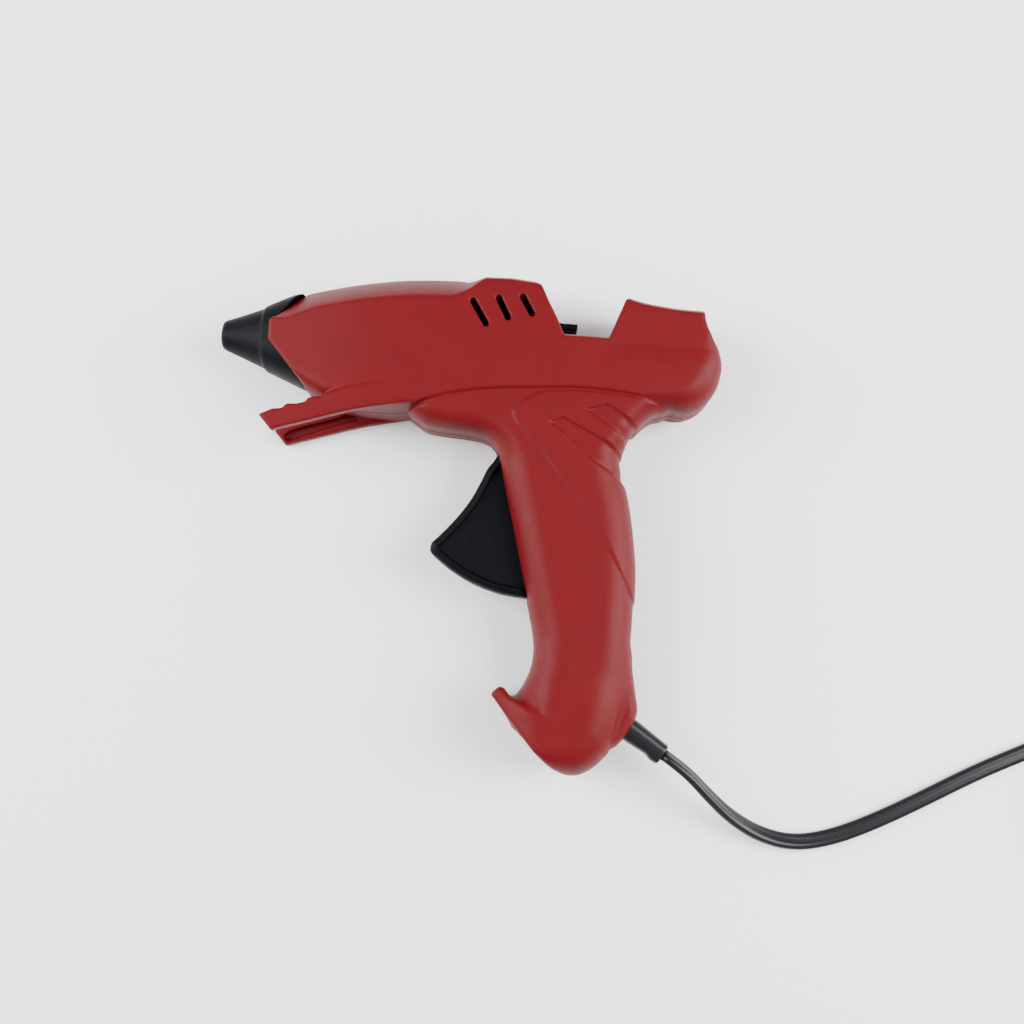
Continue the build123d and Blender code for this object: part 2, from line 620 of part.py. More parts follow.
# ---------------------------------------------------------------- switch
SWITCH_X, SWITCH_L = 1.0, 18.0
with BuildPart() as switch_body:
    with BuildSketch(Plane.XY.offset(MID - 5.5)):
        with Locations((SWITCH_X + SWITCH_L / 2, 84.35)):
            Rectangle(SWITCH_L, 8.5)
    extrude(amount=11.0)
    # slot in the rear face for the slide's finger
    with BuildSketch(Plane.XY.offset(MID - 1.8)):
        with Locations((SWITCH_X + SWITCH_L - 4.5, 82.5)):
            Rectangle(9.0, 2.6)
    extrude(amount=3.6, mode=Mode.SUBTRACT)
save(switch_body.part, "switch_body")

# The slide's thumb piece stands out of the hump, and its finger works the switch.
with BuildPart() as switch_slide:
    with BuildSketch(Plane.XY.offset(MID - 5.0)):
        with Locations((31.8, 74.6)):
            Rectangle(16.8, 2.4)
    extrude(amount=10.0)
    fillet(switch_slide.edges().filter_by(Axis.Z).group_by(Axis.X)[-1], 0.5)
    with BuildSketch(Plane.XY.offset(MID - 1.5)):
        with BuildLine():
            Polyline((23.4, 75.0), (23.4, 81.5), (14.0, 81.5), (14.0, 83.5), (25.4, 83.5),
                     (25.4, 75.0), close=True)
        make_face()
    extrude(amount=3.0)
save(switch_slide.part, "switch_slide")

# ---------------------------------------------------------------- wiring in the handle
TAIL_L = 16.0
TAIL_END = CORD_EXIT - CORD_DIR * (RELIEF_IN + TAIL_L)
BLOCK_X, BLOCK_Y = 48.0, -52.6
with BuildPart() as terminal_block:
    with BuildSketch(Plane.XY.offset(MID - 7)):
        with Locations((BLOCK_X, BLOCK_Y)):
            Rectangle(11.0, 9.0)
    extrude(amount=14)
    with BuildSketch(Plane.YZ.offset(BLOCK_X + 5.5)):
        with Locations((BLOCK_Y, MID - 3.5), (BLOCK_Y, MID + 3.5)):
            Circle(1.5)
    extrude(amount=-4, mode=Mode.SUBTRACT)
save(terminal_block.part, "terminal_block")


def arc_radii(points, share=0.45):
    """Largest radius that each corner's two runs allow."""
    points = [Vector(p) for p in points]
    radii = []
    for before, corner, after in zip(points, points[1:], points[2:]):
        turn = (corner - before).get_angle(after - corner)
        run = min((corner - before).length, (after - corner).length)
        radii.append(share * run / tan(radians(turn) / 2))
    return radii


def tube(points, radius):
    """Round tube along straight runs joined by tangent arcs, and the path's length."""
    with BuildPart() as swept:
        with BuildLine() as path:
            FilletPolyline(*points, radius=arc_radii(points))
        with BuildSketch(Plane(origin=path.line @ 0, z_dir=path.line % 0)):
            Circle(radius)
        sweep()
    length = path.wire().length
    error = swept.part.volume / (pi * radius ** 2 * length) - 1
    print(f"tube length {length:.1f}, volume error {error:.4f}, smallest radius "
          f"{min(arc_radii(points)):.1f}")
    return swept.part


# The leads run beside the trigger's lever, on the right, one outside the other.
LEAD_R = 0.9
NEAR_Z, FAR_Z = MID - 11.5, MID - 13.5
BLOCK_TOP = BLOCK_Y + 4.5
HEATER_X, HEATER_Y = -34.0, HEATER_TOP - HEATER_T / 2 - 0.1
LEAD_X = BLOCK_X + 1.5
save(tube([(LEAD_X, BLOCK_TOP, MID - 3.5), (49.9, -45.2, MID - 4.2), (52.6, -39.5, MID - 9.0),
           (51.5, -29.0, NEAR_Z), (45.0, -8.0, NEAR_Z), (42.6, 22.0, NEAR_Z), (37.0, 40.0, NEAR_Z),
           (18.0, 45.5, NEAR_Z), (-8.0, 44.8, NEAR_Z), (-20.0, 46.5, MID - 7.0),
           (-27.5, HEATER_Y, MID + 0.5), (HEATER_X, HEATER_Y, MID + 0.5)], LEAD_R),
     "neutral_lead")
save(tube([(LEAD_X, BLOCK_TOP, MID + 3.5), (50.3, -44.6, MID + 3.0), (54.8, -38.5, MID - 2.0),
           (55.0, -28.0, MID - 10.5), (50.0, -12.0, FAR_Z), (44.5, 10.0, FAR_Z),
           (41.0, 33.0, FAR_Z), (24.0, 43.0, FAR_Z), (6.0, 46.5, FAR_Z),
           (-4.0, 58.0, FAR_Z), (-5.0, 72.0, NEAR_Z), (-5.6, 80.0, MID - 7.5),
           (-3.4, 83.0, MID - 3.5), (SWITCH_X, 83.0, MID - 3.5)], LEAD_R), "live_lead")
save(tube([(SWITCH_X, 86.2, MID + 2.0), (-3.4, 86.2, MID + 2.0), (-9.0, 81.5, MID - 3.0),
           (-12.0, 72.0, MID - 10.0), (-15.0, 58.0, MID - 12.0), (-21.0, 51.0, MID - 9.0),
           (-27.5, HEATER_Y, MID - 4.0), (HEATER_X, HEATER_Y, MID - 4.0)], LEAD_R),
     "switched_lead")

# Two bared cores from the cord's end to the terminal block.
CORE_R = 1.1
CORES = []
for side in (1, -1):
    CORES.append(tube([TAIL_END + Vector(0, 0, 1.4 * side),
                       TAIL_END - CORD_DIR * 2.4 + Vector(0, 0, 1.7 * side),
                       (45.4, BLOCK_Y - 4.5, MID + 3.4 * side)], CORE_R))
with BuildPart() as cord_cores:
    add(CORES)
save(cord_cores.part, "cord_cores")

with BuildPart() as cord_tail:
    with BuildSketch(Plane(origin=TAIL_END, z_dir=CORD_DIR)):
        Circle(CORD_D / 2)
    extrude(amount=TAIL_L)
save(cord_tail.part, "cord_tail")

with BuildPart() as cord_clamp:
    with BuildSketch(CLAMP_PLANE):
        Rectangle(15.0, 6.0)
        with Locations(*CLAMP_SCREWS):
            Circle(CLAMP_SCREW_R + 0.2, mode=Mode.SUBTRACT)
    extrude(amount=2.4)
save(cord_clamp.part, "cord_clamp")

with BuildPart() as clamp_screws:
    with BuildSketch(CLAMP_PLANE.offset(2.4)):
        with Locations(*CLAMP_SCREWS):
            Circle(2.4)
    extrude(amount=1.6)
    with BuildSketch(CLAMP_PLANE.offset(2.4)):
        with Locations(*CLAMP_SCREWS):
            Circle(CLAMP_SCREW_R)
    extrude(amount=-12.0)
save(clamp_screws.part, "clamp_screws")

# ---------------------------------------------------------------- cord
RELIEF_TIP = CORD_EXIT + CORD_DIR * RELIEF_OUT
with BuildPart() as strain_relief:
    with BuildSketch(Plane(origin=CORD_EXIT - CORD_DIR * RELIEF_IN, z_dir=CORD_DIR)):
        Circle(6.0)
    extrude(amount=RELIEF_IN - 4.8)
    with BuildSketch(Plane(origin=CORD_EXIT - CORD_DIR * 4.8, z_dir=CORD_DIR)):
        Circle(4.5)
    extrude(amount=4.8)
    with BuildSketch(Plane(origin=CORD_EXIT, z_dir=CORD_DIR)):
        Circle(4.5)
    with BuildSketch(Plane(origin=RELIEF_TIP - CORD_DIR * 2.4, z_dir=CORD_DIR)):
        Circle(3.5)
    loft()
    with BuildSketch(Plane(origin=RELIEF_TIP - CORD_DIR * 2.4, z_dir=CORD_DIR)):
        Circle(4.1)
    extrude(amount=2.4)
save(strain_relief.part, "strain_relief")

FLOOR = CORD_D / 2                  # height of the cord's centre where it lies
COIL_CENTRE = (276.0, -89.6)
COIL_MEAN_R, COIL_SPAN, COIL_H = 33.0, 18.6, 8.0
CORD_ROUTE = [RELIEF_TIP, RELIEF_TIP + CORD_DIR * 10.5, (100.3, -97.2, 14.6), (110.2, -105.2, 8.6),
              (121.8, -111.2, 4.2), (135.2, -113.8, FLOOR), (150.0, -110.6, FLOOR),
              (166.5, -103.2, FLOOR), (184.5, -93.4, FLOOR), (203.0, -82.8, FLOOR),
              (222.5, -73.3, FLOOR), (243.0, -65.6, FLOOR), (264.0, -56.9, FLOOR)]
save(tube(CORD_ROUTE, CORD_D / 2), "power_cord")

with BuildPart() as cord_coil:
    with BuildSketch(Plane.XY):
        with Locations(COIL_CENTRE):
            Circle(COIL_MEAN_R + COIL_SPAN / 2)
            Circle(COIL_MEAN_R - COIL_SPAN / 2, mode=Mode.SUBTRACT)
    extrude(amount=COIL_H)
    fillet(cord_coil.faces().sort_by(Axis.Z)[-1].edges(), 1.5)
save(cord_coil.part, "cord_coil")

PLUG_X, PLUG_Y, PLUG_T = 331.0, -55.4, 13.7
PLUG_ROUTE = [(272.0, -50.6, 4.6), (289.0, -50.9, 4.2), (304.0, -53.6, 3.6),
              (318.0, PLUG_Y, PLUG_T / 2), (PLUG_X, PLUG_Y, PLUG_T / 2)]
save(tube(PLUG_ROUTE, CORD_D / 2), "plug_lead")

PLUG_L, PLUG_PINS = 35.5, 18.6
with BuildPart() as plug_body:
    with BuildSketch(Plane.XY):
        with BuildLine():
            Polyline((PLUG_X, PLUG_Y + 5), (PLUG_X + 12, PLUG_Y + 11), (PLUG_X + 21, PLUG_Y + 17.6),
                     (PLUG_X + PLUG_L, PLUG_Y + 15.4), (PLUG_X + PLUG_L, PLUG_Y - 15.4),
                     (PLUG_X + 21, PLUG_Y - 17.6), (PLUG_X + 12, PLUG_Y - 11),
                     (PLUG_X, PLUG_Y - 5), close=True)
        make_face()
    extrude(amount=PLUG_T)
    fillet(plug_body.edges().filter_by(Axis.Z), 2.0)
    fillet(plug_body.faces().sort_by(Axis.Z)[-1].edges(), 2.5)
    fillet(plug_body.faces().sort_by(Axis.Z)[0].edges(), 2.5)
save(plug_body.part, "plug_body")

PIN_R, PIN_L = 2.0, 19.0
with BuildPart() as plug_pins:
    with BuildSketch(Plane.YZ.offset(PLUG_X + PLUG_L)):
        with Locations((PLUG_Y - PLUG_PINS / 2, PLUG_T / 2), (PLUG_Y + PLUG_PINS / 2, PLUG_T / 2)):
            Circle(PIN_R)
    extrude(amount=PIN_L)
    fillet(plug_pins.edges().group_by(Axis.X)[-1], 1.0)
save(plug_pins.part, "plug_pins")
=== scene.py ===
"""Looks of the glue gun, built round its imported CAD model.

Everything is in the row frame: X runs along the glue stick towards the inlet, +Y is the
gun's top, and +Z its left side.  The gun lies on its right side on the floor, Z = 0.
Outlines and profiles are in millimetres, and become metres when their mesh is made.
"""
import json
import math

import bpy
import numpy as np
from mathutils import Matrix, Vector

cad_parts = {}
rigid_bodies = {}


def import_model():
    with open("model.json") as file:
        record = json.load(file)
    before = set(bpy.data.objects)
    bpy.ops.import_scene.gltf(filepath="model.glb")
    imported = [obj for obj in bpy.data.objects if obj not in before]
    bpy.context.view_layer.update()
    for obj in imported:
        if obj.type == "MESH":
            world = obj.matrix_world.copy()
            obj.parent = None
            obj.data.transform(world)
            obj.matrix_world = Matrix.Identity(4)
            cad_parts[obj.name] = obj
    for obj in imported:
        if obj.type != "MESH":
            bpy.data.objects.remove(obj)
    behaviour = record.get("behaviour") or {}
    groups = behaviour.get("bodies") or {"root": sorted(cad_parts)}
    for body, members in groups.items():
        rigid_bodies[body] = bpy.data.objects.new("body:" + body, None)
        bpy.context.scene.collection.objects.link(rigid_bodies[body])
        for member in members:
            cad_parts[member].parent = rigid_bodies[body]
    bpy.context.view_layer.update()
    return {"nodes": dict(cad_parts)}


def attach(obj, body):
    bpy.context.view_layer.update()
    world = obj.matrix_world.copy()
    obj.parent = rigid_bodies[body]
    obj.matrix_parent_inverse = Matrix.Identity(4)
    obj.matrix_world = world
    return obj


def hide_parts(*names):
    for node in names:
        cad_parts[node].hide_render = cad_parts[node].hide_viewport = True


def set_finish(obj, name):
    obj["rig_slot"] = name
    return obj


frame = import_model()

MM = 0.001
MID = 19.0              # height of the parting plane, and half width of the gun
AXIS_Y = 62.9           # height of the glue stick's axis
CORD_EXIT = np.array([69.1, -75.1, MID])
CORD_DIR = np.array([0.851, -0.525, 0.0]) / math.hypot(0.851, 0.525)
RELIEF_OUT = 15.5       # length of the strain relief outside the housing
RELIEF_TIP = CORD_EXIT + CORD_DIR * RELIEF_OUT


def linked(name, data):
    """New object in the scene."""
    made = bpy.data.objects.new(name, data)
    bpy.context.scene.collection.objects.link(made)
    return made


# ---------------------------------------------------------------- camera
VIEW_TARGET = Vector((20.27, 2.737, MID)) * MM
VIEW_DISTANCE = 500 * MM
VIEW_ROLL = math.radians(4.05)      # the gun's own axis against the picture's
VIEW_TILT = math.radians(7.0)       # the camera stands this far towards the gun's underside
LENS = 46.547


def make_camera():
    """Camera above the gun's left side."""
    right = Vector((math.cos(VIEW_ROLL), math.sin(VIEW_ROLL), 0))
    level_up = Vector((-math.sin(VIEW_ROLL), math.cos(VIEW_ROLL), 0))
    ahead = level_up * math.sin(VIEW_TILT) + Vector((0, 0, -math.cos(VIEW_TILT)))
    up = right.cross(ahead)
    data = bpy.data.cameras.new("camera")
    data.lens = LENS
    data.clip_start, data.clip_end = 0.01, 10
    camera = linked("camera", data)
    turn = Matrix((right, up, -ahead)).transposed().to_4x4()
    camera.matrix_world = Matrix.Translation(VIEW_TARGET - ahead * VIEW_DISTANCE) @ turn
    bpy.context.scene.camera = camera


make_camera()

# ---------------------------------------------------------------- cord
CORD_W, CORD_T = 6.2, 3.6           # the flat twin cord's width and thickness
FLAT = CORD_T / 2                   # height of its centre where it lies flat
CORD_POINTS = [tuple(RELIEF_TIP), tuple(RELIEF_TIP + CORD_DIR * 10.5), (100.3, -97.2, 14.6),
               (110.2, -105.2, 8.6), (121.8, -111.2, 4.2), (135.2, -113.8, 2.6),
               (150.0, -110.6, FLAT), (166.5, -103.2, FLAT), (184.5, -93.4, FLAT),
               (203.0, -82.8, FLAT), (222.5, -73.3, FLAT), (243.0, -63.6, FLAT)]
PLUG_POINTS = [(289.0, -49.0, 5.2), (304.0, -53.0, 3.6), (318.0, -55.4, 6.85), (331.0, -55.4, 6.85)]
COIL_CENTRE = (276.0, -89.6)
COIL_OUT, COIL_IN = 39.6, 25.6      # radius of the outermost and innermost turns' middles
COIL_STEPS = 16                     # route points in one turn
COIL_START = math.radians(112)      # where the cord meets the coil
COIL_EXTRA = 0.42                   # part of a turn that takes the cord on to its plug
COIL_CLIMB = 0.2                    # part of a turn over which it climbs to the upper layer


def coil_points():
    """Turns of the put-away length: wound inwards on the floor, then outwards on top."""
    in_turns = (COIL_OUT - COIL_IN) / CORD_W
    total = 2 * in_turns + COIL_EXTRA
    points = []
    for i in range(int(total * COIL_STEPS) + 1):
        turn = i / COIL_STEPS
        if turn < in_turns:
            radius = COIL_OUT - CORD_W * turn
        else:
            radius = min(COIL_OUT, COIL_IN + CORD_W * (turn - in_turns))
        rise = min(1.0, max(0.0, (turn - in_turns + COIL_CLIMB / 2) / COIL_CLIMB))
        angle = COIL_START - 2 * math.pi * turn
        points.append((COIL_CENTRE[0] + radius * math.cos(angle),
                       COIL_CENTRE[1] + radius * math.sin(angle),
                       FLAT + CORD_T * rise))
    return points


def route_line(points):
    """The smooth line that a NURBS spline makes of the route's points, in metres."""
    data = bpy.data.curves.new("cord_route", "CURVE")
    data.dimensions = "3D"
    data.resolution_u = 6
    spline = data.splines.new("NURBS")
    spline.points.add(len(points) - 1)
    for place, point in zip(spline.points, points):
        place.co = (*(c * MM for c in point), 1)
    spline.order_u = 3
    spline.use_endpoint_u = True
    bare = bpy.data.objects.new("cord_route", data)
    mesh = bpy.data.meshes.new_from_object(bare)
    line = np.array([v.co for v in mesh.vertices])
    bpy.data.meshes.remove(mesh)
    bpy.data.curves.remove(data)
    return line


GROOVE_DEPTH, GROOVE_WIDTH = 0.22, 0.75     # a share of the thickness, and half a width in mm


def twin_section(count=28):
    """Outline of a flat twin cord: two round cores with a shallow groove between them."""
    section = []
    for i in range(count):
        a = 2 * math.pi * i / count
        wide, high = math.cos(a), math.sin(a)
        across = CORD_W / 2 * math.copysign(abs(wide) ** 0.8, wide)
        groove = 1 - GROOVE_DEPTH * math.exp(-(across / GROOVE_WIDTH) ** 2)
        section.append((across, CORD_T / 2 * math.copysign(abs(high) ** 0.75, high) * groove))
    return np.array(section) * MM


def sweep_mesh(name, line, section, wide):
    """Closed tube of a section along a line; wide gives the section's first axis at each point."""
    ahead = np.gradient(line, axis=0)
    ahead /= np.linalg.norm(ahead, axis=1)[:, None]
    wide = wide - (wide * ahead).sum(1)[:, None] * ahead
    wide /= np.linalg.norm(wide, axis=1)[:, None]
    high = np.cross(ahead, wide)
    rings = (line[:, None] + section[None, :, :1] * wide[:, None]
             + section[None, :, 1:] * high[:, None])
    n = len(section)
    verts = rings.reshape(-1, 3)
    faces = []
    for i in range(len(line) - 1):
        for j in range(n):
            k = (j + 1) % n
            faces.append((i * n + j, i * n + k, (i + 1) * n + k, (i + 1) * n + j))
    faces.append(tuple(range(n))[::-1])
    faces.append(tuple(range(len(verts) - n, len(verts))))
    mesh = bpy.data.meshes.new(name)
    mesh.from_pydata(verts.tolist(), [], faces)
    mesh.shade_smooth()
    return linked(name, mesh)


CORD_LEAN = math.radians(66)        # how far the cord stands on edge where it leaves the grip
TWIST_LENGTH = 105 * MM             # the cord turns from there to flat over this length


def make_cord():
    """The power cord in one piece, from the strain relief to the plug."""
    line = route_line(CORD_POINTS + coil_points() + PLUG_POINTS)
    steps = np.linalg.norm(np.diff(line, axis=0), axis=1)
    along = np.concatenate([[0], np.cumsum(steps)])
    share = np.clip(along / TWIST_LENGTH, 0, 1)
    lean = CORD_LEAN * (1 - share * share * (3 - 2 * share))
    ahead = np.gradient(line, axis=0)
    ahead /= np.linalg.norm(ahead, axis=1)[:, None]
    level = np.cross(ahead, [0, 0, 1.0])
    level /= np.linalg.norm(level, axis=1)[:, None]
    upright = np.cross(level, ahead)
    wide = level * np.cos(lean)[:, None] + upright * np.sin(lean)[:, None]
    cord = sweep_mesh("cord", line, twin_section(), wide)
    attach(cord, "housing")
    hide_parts("power_cord", "cord_coil", "plug_lead")
    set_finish(cord, "cord_pvc")
    return cord, line, along[-1]


cord, cord_line, cord_length = make_cord()

# ---------------------------------------------------------------- implicit solids
# A solid is a function of place, in mm, that is positive inside it and about as large
# as the distance to its surface.  Its surface is meshed by a net of quads.
TABLE_STEP = 0.25


class Flat:
    """A function of X and Y, tabled on a fine grid so that it is quick to read anywhere."""

    def __init__(self, function, low=(-98.0, -96.0), high=(98.0, 96.0)):
        self.low = low
        xs = np.arange(low[0], high[0], TABLE_STEP)
        ys = np.arange(low[1], high[1], TABLE_STEP)
        gx, gy = np.meshgrid(xs, ys, indexing="ij")
        self.table = function(gx, gy).astype(np.float32)

    def __call__(self, x, y):
        u = np.clip((x - self.low[0]) / TABLE_STEP, 0, self.table.shape[0] - 1.01)
        v = np.clip((y - self.low[1]) / TABLE_STEP, 0, self.table.shape[1] - 1.01)
        i, j = u.astype(np.int32), v.astype(np.int32)
        fu, fv = (u - i).astype(np.float32), (v - j).astype(np.float32)
        near = self.table[i, j] * (1 - fv) + self.table[i, j + 1] * fv
        far = self.table[i + 1, j] * (1 - fv) + self.table[i + 1, j + 1] * fv
        return near * (1 - fu) + far * fu


def curve_through(points, steps=6):
    """Smooth run through points, as a list of closer points."""
    p = np.array([points[0], *points, points[-1]], float)
    t = np.linspace(0, 1, steps, endpoint=False)[:, None]
    runs = []
    for a, b, c, d in zip(p, p[1:], p[2:], p[3:]):
        runs.append(b + t * (c - a) / 2 + t ** 2 * (a - 2.5 * b + 2 * c - d / 2)
                    + t ** 3 * (1.5 * b - 1.5 * c + (d - a) / 2))
    return [*map(tuple, np.concatenate(runs)), tuple(points[-1])]


def edge_distance(points, x, y, closed=True):
    """Distance to a run of straight lines."""
    best = np.full(np.broadcast(x, y).shape, np.inf)
    ends = points[1:] + points[:1] if closed else points[1:]
    for (ax, ay), (bx, by) in zip(points, ends):
        ex, ey = bx - ax, by - ay
        wx, wy = x - ax, y - ay
        t = np.clip((wx * ex + wy * ey) / max(ex * ex + ey * ey, 1e-12), 0, 1)
        best = np.minimum(best, (wx - t * ex) ** 2 + (wy - t * ey) ** 2)
    return np.sqrt(best)


def inside_distance(outline, x, y):
    """Distance to a closed outline, positive inside it."""
    inside = np.zeros(np.broadcast(x, y).shape, bool)
    for (ax, ay), (bx, by) in zip(outline, outline[1:] + outline[:1]):
        if ay != by:
            inside ^= ((ay > y) != (by > y)) & (x < (bx - ax) * (y - ay) / (by - ay) + ax)
    return np.where(inside, 1, -1) * edge_distance(outline, x, y)


def outline_field(outline):
    """Table of the distance to a closed outline, positive inside it."""
    return Flat(lambda x, y: inside_distance(outline, x, y))


def both(a, b, round_by):
    """Where two solids overlap, with the edge between them rounded."""
    h = np.maximum(round_by - np.abs(a - b), 0) / round_by
    return np.minimum(a, b) - h * h * round_by / 4


def either(a, b, round_by):
    """Two solids joined, with a fillet between them."""
    return -both(-a, -b, round_by)


def without(a, b, round_by):
    """The first solid with the second cut out of it."""
    return both(a, -b, round_by)


def ramp(value, low, high):
    """0 below low and 1 above high, with a smooth rise between."""
    t = np.clip((value - low) / (high - low), 0, 1)
    return t * t * (3 - 2 * t)


def pillow(edge, depth, round_edge, round_depth, power=2.0):
    """Flat form with a rounded rim: edge is the distance in from its outline, depth the
    distance under its face, and power 2 gives an elliptic rim, 1 a chamfer."""
    a = np.maximum(round_edge - edge, 0) / round_edge
    b = np.maximum(round_depth - depth, 0) / round_depth
    s = np.maximum((a ** power + b ** power) ** (1 / power), 1e-4)
    slope = np.hypot((a / s) ** (power - 1) / round_edge, (b / s) ** (power - 1) / round_depth)
    rim = (1 - s) / np.maximum(slope, 0.04)
    return np.where(s > 1e-3, rim, np.minimum(edge, depth))


CORNERS = ((0, 0), (-1, 0), (-1, -1), (0, -1))      # of the four cells round a grid edge


def net(solid, low, high, step):
    """Vertices and quads round a solid between two corners."""
    axes = [np.arange(low[k] - step, high[k] + 2 * step, step, dtype=np.float32)
            for k in range(3)]
    field = np.asarray(solid(*np.meshgrid(*axes, indexing="ij", sparse=True)), np.float32)
    for k in range(3):
        face = [slice(None)] * 3
        face[k] = (0, -1)
        field[tuple(face)] = -1
    inside = field > 0
    ids, places, quads = [], [], []
    shape = np.array(field.shape)
    for k in range(3):
        here, there = [slice(None)] * 3, [slice(None)] * 3
        here[k], there[k] = slice(0, -1), slice(1, None)
        cut = np.argwhere(inside[tuple(here)] != inside[tuple(there)])
        step_k = np.eye(3, dtype=int)[k]
        f0, f1 = field[tuple(cut.T)], field[tuple((cut + step_k).T)]
        place = cut + step_k * (f0 / (f0 - f1))[:, None]
        side = []
        for u, v in CORNERS:
            cell = cut.copy()
            cell[:, (k + 1) % 3] += u
            cell[:, (k + 2) % 3] += v
            side.append(np.ravel_multi_index(tuple(cell.T), tuple(shape)))
            ids.append(side[-1])
            places.append(place)
        quad = np.stack(side, axis=1)
        quads.append(np.where((f0 > 0)[:, None], quad, quad[:, ::-1]))
    ids, places = np.concatenate(ids), np.concatenate(places)
    cells, at = np.unique(ids, return_inverse=True)
    count = np.bincount(at)
    verts = np.stack([np.bincount(at, places[:, k]) / count for k in range(3)], axis=1)
    verts = verts * step + np.array([a[0] for a in axes])
    quads = np.searchsorted(cells, np.concatenate(quads))
    return settle(verts, solid, step), quads


def settle(points, solid, step, rounds=3, probe=0.06):
    """Points moved onto the solid's surface along its slope."""
    for _ in range(rounds):
        value = solid(*points.T)
        slope = np.stack([(solid(*(points + probe * d).T) - value) / probe for d in np.eye(3)], axis=1)
        move = slope * (value / np.maximum((slope ** 2).sum(1), 0.09))[:, None]
        size = np.linalg.norm(move, axis=1)[:, None]
        points = points - move * np.minimum(1, 0.6 * step / np.maximum(size, 1e-9))
    return points


def solid_piece(name, solid, low, high, step, to_row=lambda p: p, flip=False):
    """Mesh object of a solid; to_row moves its points to the row frame, and flip says that
    this mirrors them."""
    verts, quads = net(solid, low, high, step)
    if flip:
        quads = quads[:, ::-1]
    mesh = bpy.data.meshes.new(name)
    mesh.from_pydata((to_row(verts) * MM).tolist(), [], quads.tolist())
    mesh.shade_smooth()
    return linked(name, mesh)


# ---------------------------------------------------------------- housing, outer form
BARREL_TOP = curve_through([(-64.8, 80.3), (-61.5, 81.7), (-46.3, 85.3), (-29.2, 88.3), (-16.4, 89.6),
                            (-7.8, 90.1), (-2.2, 90.1)])
HUMP_TOP = [(4.0, 92.3), (14.0, 92.6), (23.6, 91.7), (99.0, 91.0)]
HUMP_BACK = [(22.0, 99.0), (24.6, 88.6), *curve_through([(26.6, 84.9), (28.8, 80.4), (31.6, 75.3),
                                                         (34.9, 68.5)]), (41.0, 50.0)]
WING_FRONT = [(46.0, 50.0), (51.6, 67.9), (57.4, 84.0), (63.0, 99.0)]
WING_TOP = curve_through([(40.0, 92.0), (52.0, 89.8), (58.2, 88.2), (64.0, 86.6), (71.5, 85.5),
                          (79.2, 84.9), (86.6, 84.7), (99.0, 84.6)])
DECK_TOP = 71.6
TAIL_END = curve_through([(87.4, 84.3), (87.2, 79.6), (88.2, 75.6), (90.4, 71.4), (93.4, 67.0),
                          (95.1, 62.0), (94.8, 57.0), (93.2, 52.2), (90.4, 47.9), (86.8, 44.8),
                          (82.6, 43.2)])
SWOOSH = curve_through([(78.8, 43.3), (74.0, 44.7), (66.0, 46.6), (56.9, 47.8), (42.1, 48.4),
                        (27.4, 47.5), (12.7, 46.3), (1.8, 44.7), (-9.1, 42.1), (-19.8, 38.2)])
UPPER = outline_field([(-99.0, 99.0), (86.6, 99.0), *TAIL_END, *SWOOSH,
                       (-28.0, 37.2), (-40.0, 37.0), (-53.0, 38.6), (-62.0, 43.2), (-99.0, 59.0)])
FORE_TOP = outline_field([(-92.0, 69.6), *BARREL_TOP, *HUMP_TOP, (99.0, 0.0), (-92.0, 0.0)])
HUMP = outline_field([(-99.0, 99.0), *HUMP_BACK, (-99.0, 50.0)])
WING = outline_field([*WING_FRONT, (99.0, 99.0), (99.0, 50.0)])
REAR_TOP = outline_field([*WING_TOP, (99.0, 0.0), (40.0, 0.0)])
NOSE = outline_field([(-60.4, 43.2), (-74.7, 59.3), (-75.0, 66.6), (-69.7, 73.1), (-64.8, 80.7),
                      (-60.0, 99.0), (99.0, 99.0), (99.0, -99.0), (-60.0, -99.0)])

HANDLE_FRONT = curve_through([(-21.4, 36.3), (-16.2, 32.8), (-13.0, 31.6), (-6.9, 31.0), (2.3, 30.3),
                              (8.1, 29.2), (11.1, 27.2), (13.2, 23.6), (16.1, 12.8), (20.8, -4.1),
                              (25.3, -20.8), (29.1, -34.4), (31.2, -43.1), (31.9, -49.5),
                              (31.2, -55.5), (28.9, -61.5), (25.9, -66.4)])
HANDLE_BACK = curve_through([(60.0, -84.0), (65.0, -70.0), (67.0, -56.0), (67.5, -43.0),
                             (67.6, -27.2), (67.2, -15.9), (65.7, -4.7), (64.0, 4.7),
                             (62.1, 12.2), (60.2, 17.8), (59.4, 24.3), (60.3, 28.6), (64.0, 35.4),
                             (70.2, 41.7), (76.0, 43.6), (82.0, 46.0)])
LOWER = outline_field([*HANDLE_FRONT, (23.5, -71.0), (26.0, -77.0), (34.0, -82.0), (48.0, -86.0),
                       *HANDLE_BACK, (82.0, 56.0), (-10.0, 56.0)])

BUTT_BALL = curve_through([(33.9, -84.8), (40.2, -90.1), (45.5, -92.7), (49.2, -93.1), (52.1, -92.4),
                           (55.7, -90.3), (59.2, -87.0), (62.3, -82.2), (64.6, -74.0),
                           (65.4, -64.0), (64.6, -54.0), (62.0, -46.0)])
HOOK_TIP = curve_through([(36.6, -58.0), (36.9, -66.0), (36.3, -71.6), (32.0, -70.4), (28.8, -68.3),
                          (26.0, -66.6), (24.0, -65.6), (22.8, -64.2), (21.9, -63.2), (20.2, -62.8),
                          (18.7, -63.9), (17.5, -65.7), (19.0, -67.6), (23.4, -73.0), (28.6, -78.9)])
BUTT = outline_field([*BUTT_BALL, (36.0, -46.0), *HOOK_TIP])

BOSS = outline_field([*curve_through([(58.0, -46.0), (65.4, -47.5), (67.4, -53.0), (69.9, -60.4),
                                      (71.5, -67.0), (71.0, -71.4)]), (66.4, -79.4),
                      *curve_through([(64.4, -81.6), (62.6, -82.4), (60.4, -81.6)]),
                      (56.0, -70.0), (54.0, -58.0)])

